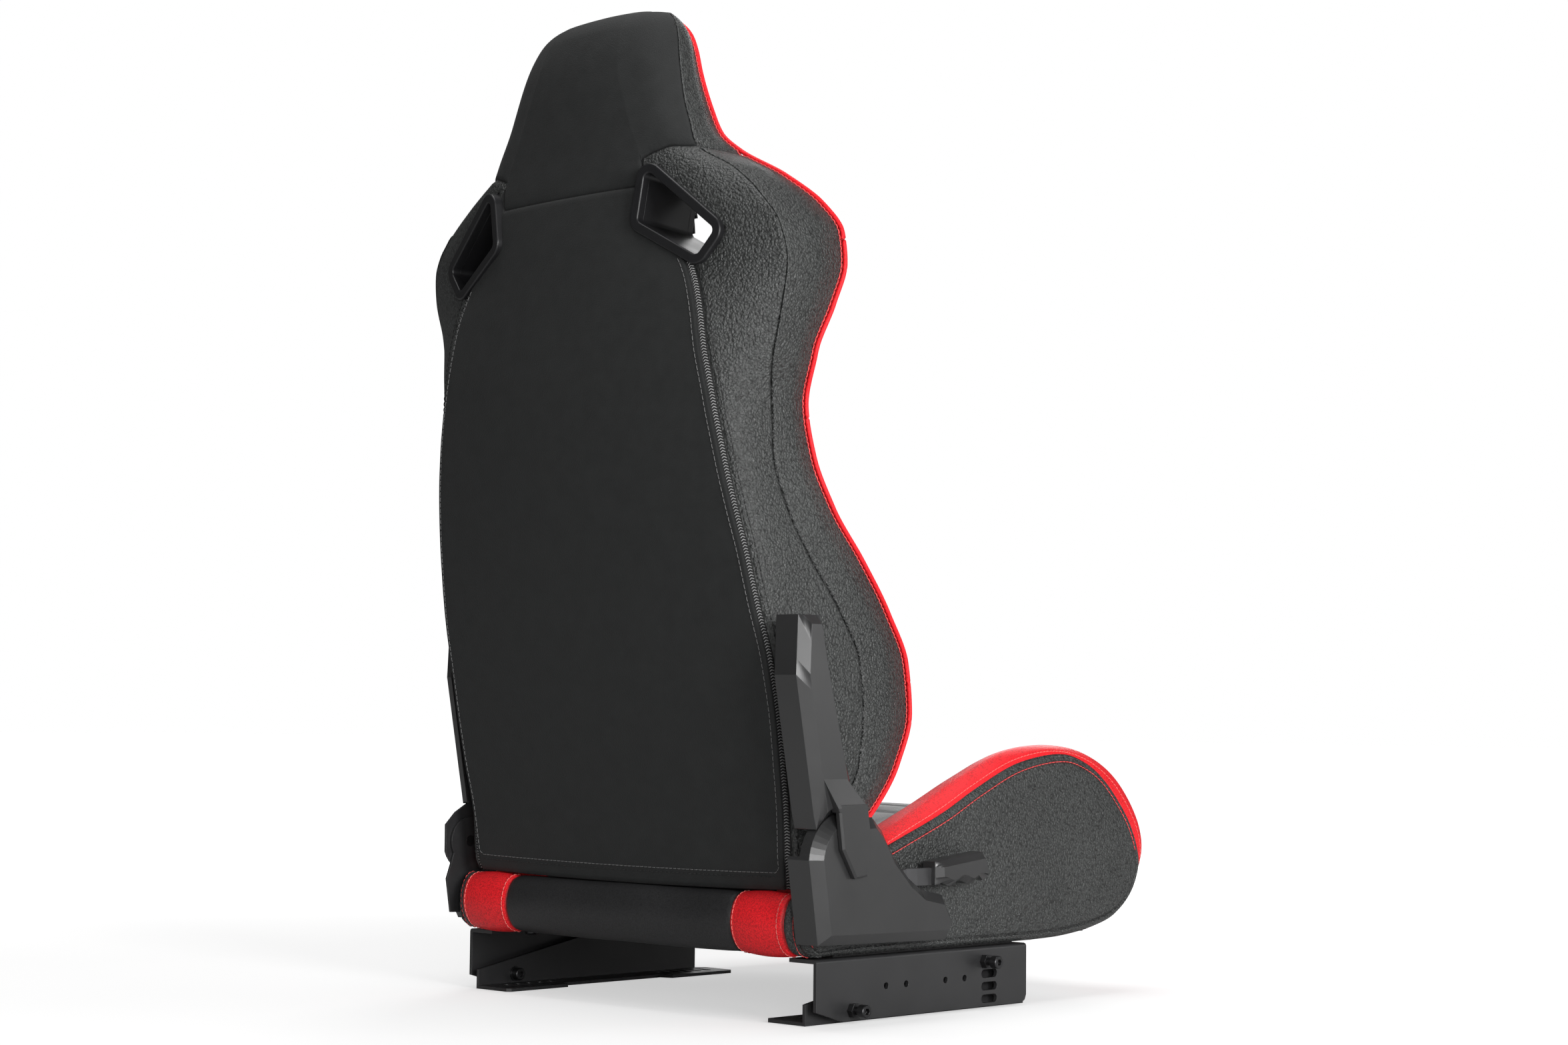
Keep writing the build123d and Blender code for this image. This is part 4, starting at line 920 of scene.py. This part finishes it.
def side_cover(side, sign):
    """Sewn side panel with a band, a row of stitches and a low dome."""
    top = top_curve(SIDE_PANEL, 190)
    bottom = np.stack([np.linspace(top[-1, 0], top[0, 0], 62)[1:-1], np.full(60, 66.0)], axis=1)
    outline = np.concatenate([top, bottom])
    spine = np.array(((150, 92), (60, 118), (-60, 138), (-180, 150), (-270, 140)), float)
    spine = through(spine, 20)
    tree = search_tree([(*q, 0) for q in spine])
    target = np.array([spine[tree.find((*q, 0))[1]] for q in outline])
    kernel = np.ones(41) / 41
    pad = np.concatenate([target[-20:], target, target[:20]])
    target = np.stack([np.convolve(pad[:, k], kernel, mode="valid") for k in range(2)], axis=1)
    reach = np.linalg.norm(target - outline, axis=1, keepdims=True)
    ways = (target - outline) / reach
    depths = [0.0, 0.7, 1.6, 2.8, 4.5, 6.4, 7.2, STITCH_DEPTH, 8.8, 9.8, 12.0, 16.0]
    rings = [outline + ways * np.minimum(d, reach * 0.6) for d in depths]
    start = rings[-1]
    rings += [start + (target - start) * f for f in np.linspace(0, 1, 22)[1:]]
    depth_of = depths + list(np.linspace(16, 60, 22)[1:])
    grid = np.zeros((len(rings), len(outline), 3))
    for i, ring in enumerate(rings):
        d = depth_of[i]
        front = np.clip((-10 - ring[:, 0]) / 120, 0, 1)
        low = np.clip((ring[:, 1] - 66) / 14, 0, 1)
        edge_drop = 5.2 * math.exp(-((d / 2.6) ** 2))
        stitch_drop = 1.3 * math.exp(-(((d - STITCH_DEPTH) / 1.1) ** 2))
        dome = 257.6 - edge_drop - stitch_drop
        swell = 3.6 * front * low * (1 - math.exp(-max(d - STITCH_DEPTH, 0) / 22))
        grid[i, :, 0] = dome + swell
        grid[i, :, 1:] = ring
    from_seam = np.array([min(d, abs(d - STITCH_DEPTH)) for d in depth_of])
    seam = np.repeat(from_seam[:, None], len(outline), axis=1)
    inner = grid[:1].copy()
    inner[..., 0] = 250.0
    full = np.concatenate([inner, grid])
    full_seam = np.concatenate([seam[:1], seam])
    normals = grid_normals(full, closed=True)
    normals *= np.sign(normals[20, :, 0].mean())
    if sign < 0:
        full, normals = mirror_x(full), mirror_x(normals)
    n, m = full.shape[:2]
    faces = [tuple(f) for f in grid_faces(n, m, closed=True)]
    faces.append(tuple(range(m)))
    verts = full.reshape(-1, 3)
    obj = make_object("base_side_cover_" + side, verts, faces, PEBBLE, BASE, "black_padding")
    bm = bmesh.new()
    bm.from_mesh(obj.data)
    # Distance to the edge and the stitch row, read by the material for painted shade near them.
    layer = bm.verts.layers.float.new("seam")
    bm.verts.ensure_lookup_table()
    for v, value in zip(bm.verts, full_seam.reshape(-1)):
        v[layer] = value
    bmesh.ops.remove_doubles(bm, verts=bm.verts, dist=0.00005)
    bmesh.ops.holes_fill(bm, edges=[e for e in bm.edges if e.is_boundary], sides=0)
    bmesh.ops.recalc_face_normals(bm, faces=bm.faces)
    bm.to_mesh(obj.data)
    bm.free()
    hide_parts("base_side_panel_" + side)
    row = 1 + depths.index(STITCH_DEPTH)
    stop = int(np.argmax((outline[:, 0] < -300) & (outline[:, 1] < 152)))
    return stitches(full[row, 2:stop], normals[row, 2:stop], 5.0, 0.9, 0.5, 0.35)


PATCH_X, END_X = 166, 237.4                         # seams of the rear edge, from the middle


def rear_edge():
    """Rolled rear edge: a smooth middle, a red patch and a grained end on each side."""
    patch_seam = [161, 163.5, 165, 166, 167, 168.5, 171, 174]
    end_seam = [231, 233.5, 235.2, 236.4, 237.4, 238.6, 240.4, 243, 246, 248.6, 250.8, 252.6, 253.8, 254.6]
    half = np.concatenate([np.linspace(0, 158, 22), patch_seam, np.linspace(178, 228, 13), end_seam])
    xs = np.concatenate([-half[:0:-1], half])
    curve = top_curve(REAR_ROLL, 46)
    grid = np.zeros((len(xs), len(curve), 3))
    for i, x in enumerate(xs):
        over = np.clip((abs(x) - 232) / 24.0, 0, 1)
        scale = math.sqrt(1 - over**2)
        grid[i, :, 0] = x
        grid[i, :, 1] = 163 + (curve[:, 0] - 163) * scale
        grid[i, :, 2] = curve[:, 1] - (0.4 * np.sin(np.abs(x) / 40.0) if abs(x) < 160 else 0)
    normals = outward_normals(grid, np.array((0, 163, 95)), closed=False)
    a = np.abs(xs)
    seam_x = np.minimum(np.abs(a - PATCH_X), np.abs(a - END_X))
    seam = np.repeat(seam_x[:, None], len(curve), axis=1)
    puff = 2.0 * np.sin(np.clip((a - PATCH_X) / 71.4, 0, 1) * math.pi)[:, None] * np.ones(len(curve))
    rise = sewn(seam, 1.5, 1.5, 1.2, 10.0) + puff
    rise *= np.clip(np.minimum(np.arange(46), 45 - np.arange(46)) / 5, 0, 1)[None, :]
    grid = grid + normals * rise[..., None]
    faces = grid_faces(*grid.shape[:2])
    face_x = grid.reshape(-1, 3)[faces][..., 0].mean(axis=1)
    for label, pick, mat, slot in (
        ("rear_roll_cover", np.abs(face_x) < PATCH_X, SMOOTH, "black_padding"),
        ("rear_patch_left", (face_x > PATCH_X) & (face_x < END_X), REDLEATHER, "red_padding"),
        ("rear_patch_right", (face_x < -PATCH_X) & (face_x > -END_X), REDLEATHER, "red_padding"),
        ("rear_end_left", face_x > END_X, PEBBLE, "black_padding"),
        ("rear_end_right", face_x < -END_X, PEBBLE, "black_padding"),
    ):
        skin(label, grid, normals, faces[pick], 2.0, mat, BASE, slot, seam)
    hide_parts("base_rear_roll")
    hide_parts("base_rear_corner_left")
    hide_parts("base_rear_corner_right")
    light, red = [], []
    for sign in (-1, 1):
        for place, bag in ((231.0, light), (171.0, light), (246.0, red)):
            i = int(np.argmin(np.abs(xs - sign * place)))
            bag += stitches(grid[i, 4:42], normals[i, 4:42], 4.4, 1.0, 0.42, 0.2)
    return light, red


def cushion():
    """Centre cushion of the base: its rings of points, narrowed at the ends, with outward normals; the crown
    and sewn channels are added after.
    """
    half = np.concatenate([np.linspace(0, 150, 26), [154, 158, 161, 163.5, 165.4, 166.8, 167.6]])
    xs = np.concatenate([-half[:0:-1], half])
    curve = top_curve(CUSHION_SIDE, 130)
    base_line = np.linspace(curve[-1], curve[0], 20)[1:-1]
    ring = np.concatenate([curve, base_line])
    grid = np.zeros((len(xs), len(ring), 3))
    for i, x in enumerate(xs):
        edge = np.clip((abs(x) - 150) / 17.8, 0, 1)
        shrink = 5.0 * (1 - math.sqrt(1 - edge**2 * 0.96))
        grid[i, :, 0] = x
        grid[i, :, 1] = ring[:, 0] * (1 - shrink / 260)
        grid[i, :, 2] = 98 + (ring[:, 1] - 98) * (1 - shrink / 60)
    return grid, outward_normals(grid, grid.mean(axis=(0, 1))), xs


light, red = rear_edge()
for side, sign in (("left", 1), ("right", -1)):
    light += bolster(side, sign)
    red += side_cover(side, sign)
grid, cushion_normals, cushion_x = cushion()
CROWN, HALF_WIDTH = 6.0, 168
CUSHION_CAP = 8.0                                   # the most that the cloth may move a point
SEAM_ROWS = (-290, -232, -174, -116, -58, 0)        # Y of the seams across the middle panel
PANEL_HALF, PANEL_FRONT, PANEL_REAR = 118.0, -350.0, 90.0
crest = CROWN * (1 - (grid[..., 0] / HALF_WIDTH) ** 2) * np.clip((grid[..., 2] - 110) / 30, 0, 1)
lines = []
for place in SEAM_ROWS:
    row = np.stack([cushion_x, np.full(len(cushion_x), place), np.zeros(len(cushion_x))], axis=1)
    lines.append(row[np.abs(row[:, 0]) < PANEL_HALF])
for x in (-PANEL_HALF, PANEL_HALF):
    lines.append(np.array(((x, PANEL_FRONT, 0.0), (x, PANEL_REAR, 0.0))))
flat_grid = grid * np.array((1, 1, 0))
seam = seam_distance(flat_grid, lines)
upper = np.clip((cushion_normals[..., 2] - 0.2) / 0.3, 0, 1)
grid = grid + cushion_normals * crest[..., None]
held = (seam < 3.5) | (upper < 0.05)
held[0], held[-1] = True, True
grid = inflate(grid, cushion_normals, held, CUSHION_CAP)
grid = grid + cushion_normals * (sewn(seam, 2.6, 2.4, 2.0, 16.0) * upper)[..., None]
seat_cushion = closed_loft("base_cushion_cover", grid, SMOOTH, "black_padding", np.where(upper > 0, seam, 30))
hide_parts("base_cushion")
for label, parts, mat, slot in (("base_light_stitches", light, LIGHTTHREAD, "red_piping"),
                                ("base_red_stitches", red, REDTHREAD, "red_piping")):
    make_object(label, *join(parts), mat, BASE, slot)


# ---- studio ----
FLOOR_WHITE, FLOOR_HALF = (0.6, 0.6, 0.6), 30
LIGHTS = (                                          # place, target, size in metres, power in watts
    ("key", (-3.6, 0.9, 1.1), (0, 0.0, 0.45), 1.2, 95.0),
    ("rear", (-2.8, 2.3, 0.7), (0, 0.0, 0.45), 1.0, 42.0),
    ("side", (-2.6, -2.6, 0.9), (0, 0.0, 0.45), 1.3, 10.0),
    ("fill", (2.2, -3.2, 2.0), (0, 0.0, 0.5), 1.6, 34.0),
    ("top", (0.0, 0.2, 3.8), (0, 0.0, 0.0), 2.6, 66.0),
)
SENSOR, LENS = 36.0, 62.63                          # mm
CAMERA_PLACE = (-2.045, 2.100, 0.294)
CAMERA_TURN = (43.62, 4.11, 0.57)                   # yaw, pitch and roll in degrees


def studio():
    """Pale floor, soft lights, white surroundings and the camera."""
    mesh = bpy.data.meshes.new("floor")
    corners = [(x * FLOOR_HALF, y * FLOOR_HALF, 0) for x, y in ((-1, -1), (1, -1), (1, 1), (-1, 1))]
    mesh.from_pydata(corners, [], [(0, 1, 2, 3)])
    floor = bpy.data.objects.new("floor", mesh)
    floor.location.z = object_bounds()[0][2] - 0.0005
    bpy.context.scene.collection.objects.link(floor)
    mat, tree, shader = material("floor_white", FLOOR_WHITE, 0.85, 0.1)
    coords = node(tree, "TexCoord").outputs["Object"]
    vary(tree, shader, FLOOR_WHITE, coords, 3.0, 0.01, 0.85, 0.02)
    # Painted light: the floor glows to the camera alone, from 0.55 near the seat to full away from it, so the
    # far floor is white while the cast shadow near the seat still shows.
    far = node(tree, "VectorMath", [(0, coords)], operation="LENGTH")
    glow = remap(tree, far.outputs["Value"], 0.6, 3.0, 0.55, 1.0, interpolation_type="SMOOTHSTEP")
    seen = node(tree, "LightPath").outputs["Is Camera Ray"]
    shown = node(tree, "Math", [(0, glow), (1, seen)], operation="MULTIPLY")
    tree.links.new(shown.outputs[0], shader.inputs["Emission Strength"])
    shader.inputs["Emission Color"].default_value = (1, 1, 1, 1)
    mesh.materials.append(mat)
    floor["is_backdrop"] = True
    world = bpy.data.worlds.new("studio")
    bpy.context.scene.world = world
    world.use_nodes = True
    tree = world.node_tree
    surround = tree.nodes["Background"]
    surround.inputs["Color"].default_value = (1, 1, 1, 1)
    surround.inputs["Strength"].default_value = 0.10
    seen = node(tree, "Background", Color=(1, 1, 1, 1), Strength=1.0)
    path = node(tree, "LightPath").outputs["Is Camera Ray"]
    both = node(tree, "MixShader", [(0, path), (1, surround.outputs[0]), (2, seen.outputs[0])])
    tree.links.new(both.outputs[0], tree.nodes["World Output"].inputs["Surface"])
    for name, place, target, size, power in LIGHTS:
        light = bpy.data.lights.new(name, "AREA")
        light.size, light.energy = size, power
        lamp = bpy.data.objects.new(name, light)
        lamp.location = place
        lamp.rotation_euler = (Vector(target) - Vector(place)).to_track_quat("-Z", "Y").to_euler()
        bpy.context.scene.collection.objects.link(lamp)
    camera = bpy.data.cameras.new("camera")
    camera.sensor_width, camera.lens = SENSOR, LENS
    camera.clip_end = 100
    eye = bpy.data.objects.new("camera", camera)
    yaw, pitch, roll = [math.radians(degrees) for degrees in CAMERA_TURN]
    ahead = Vector((math.sin(yaw) * math.cos(pitch), -math.cos(yaw) * math.cos(pitch), math.sin(pitch)))
    right = ahead.cross(Vector((0, 0, 1))).normalized()
    up = right.cross(ahead)
    x_axis = right * math.cos(roll) + up * math.sin(roll)
    y_axis = -right * math.sin(roll) + up * math.cos(roll)
    turn = Matrix((x_axis, y_axis, -ahead)).transposed().to_4x4()
    eye.matrix_world = Matrix.Translation(CAMERA_PLACE) @ turn
    bpy.context.scene.collection.objects.link(eye)
    bpy.context.scene.camera = eye
    bpy.context.scene.view_settings.view_transform = "Standard"


studio()
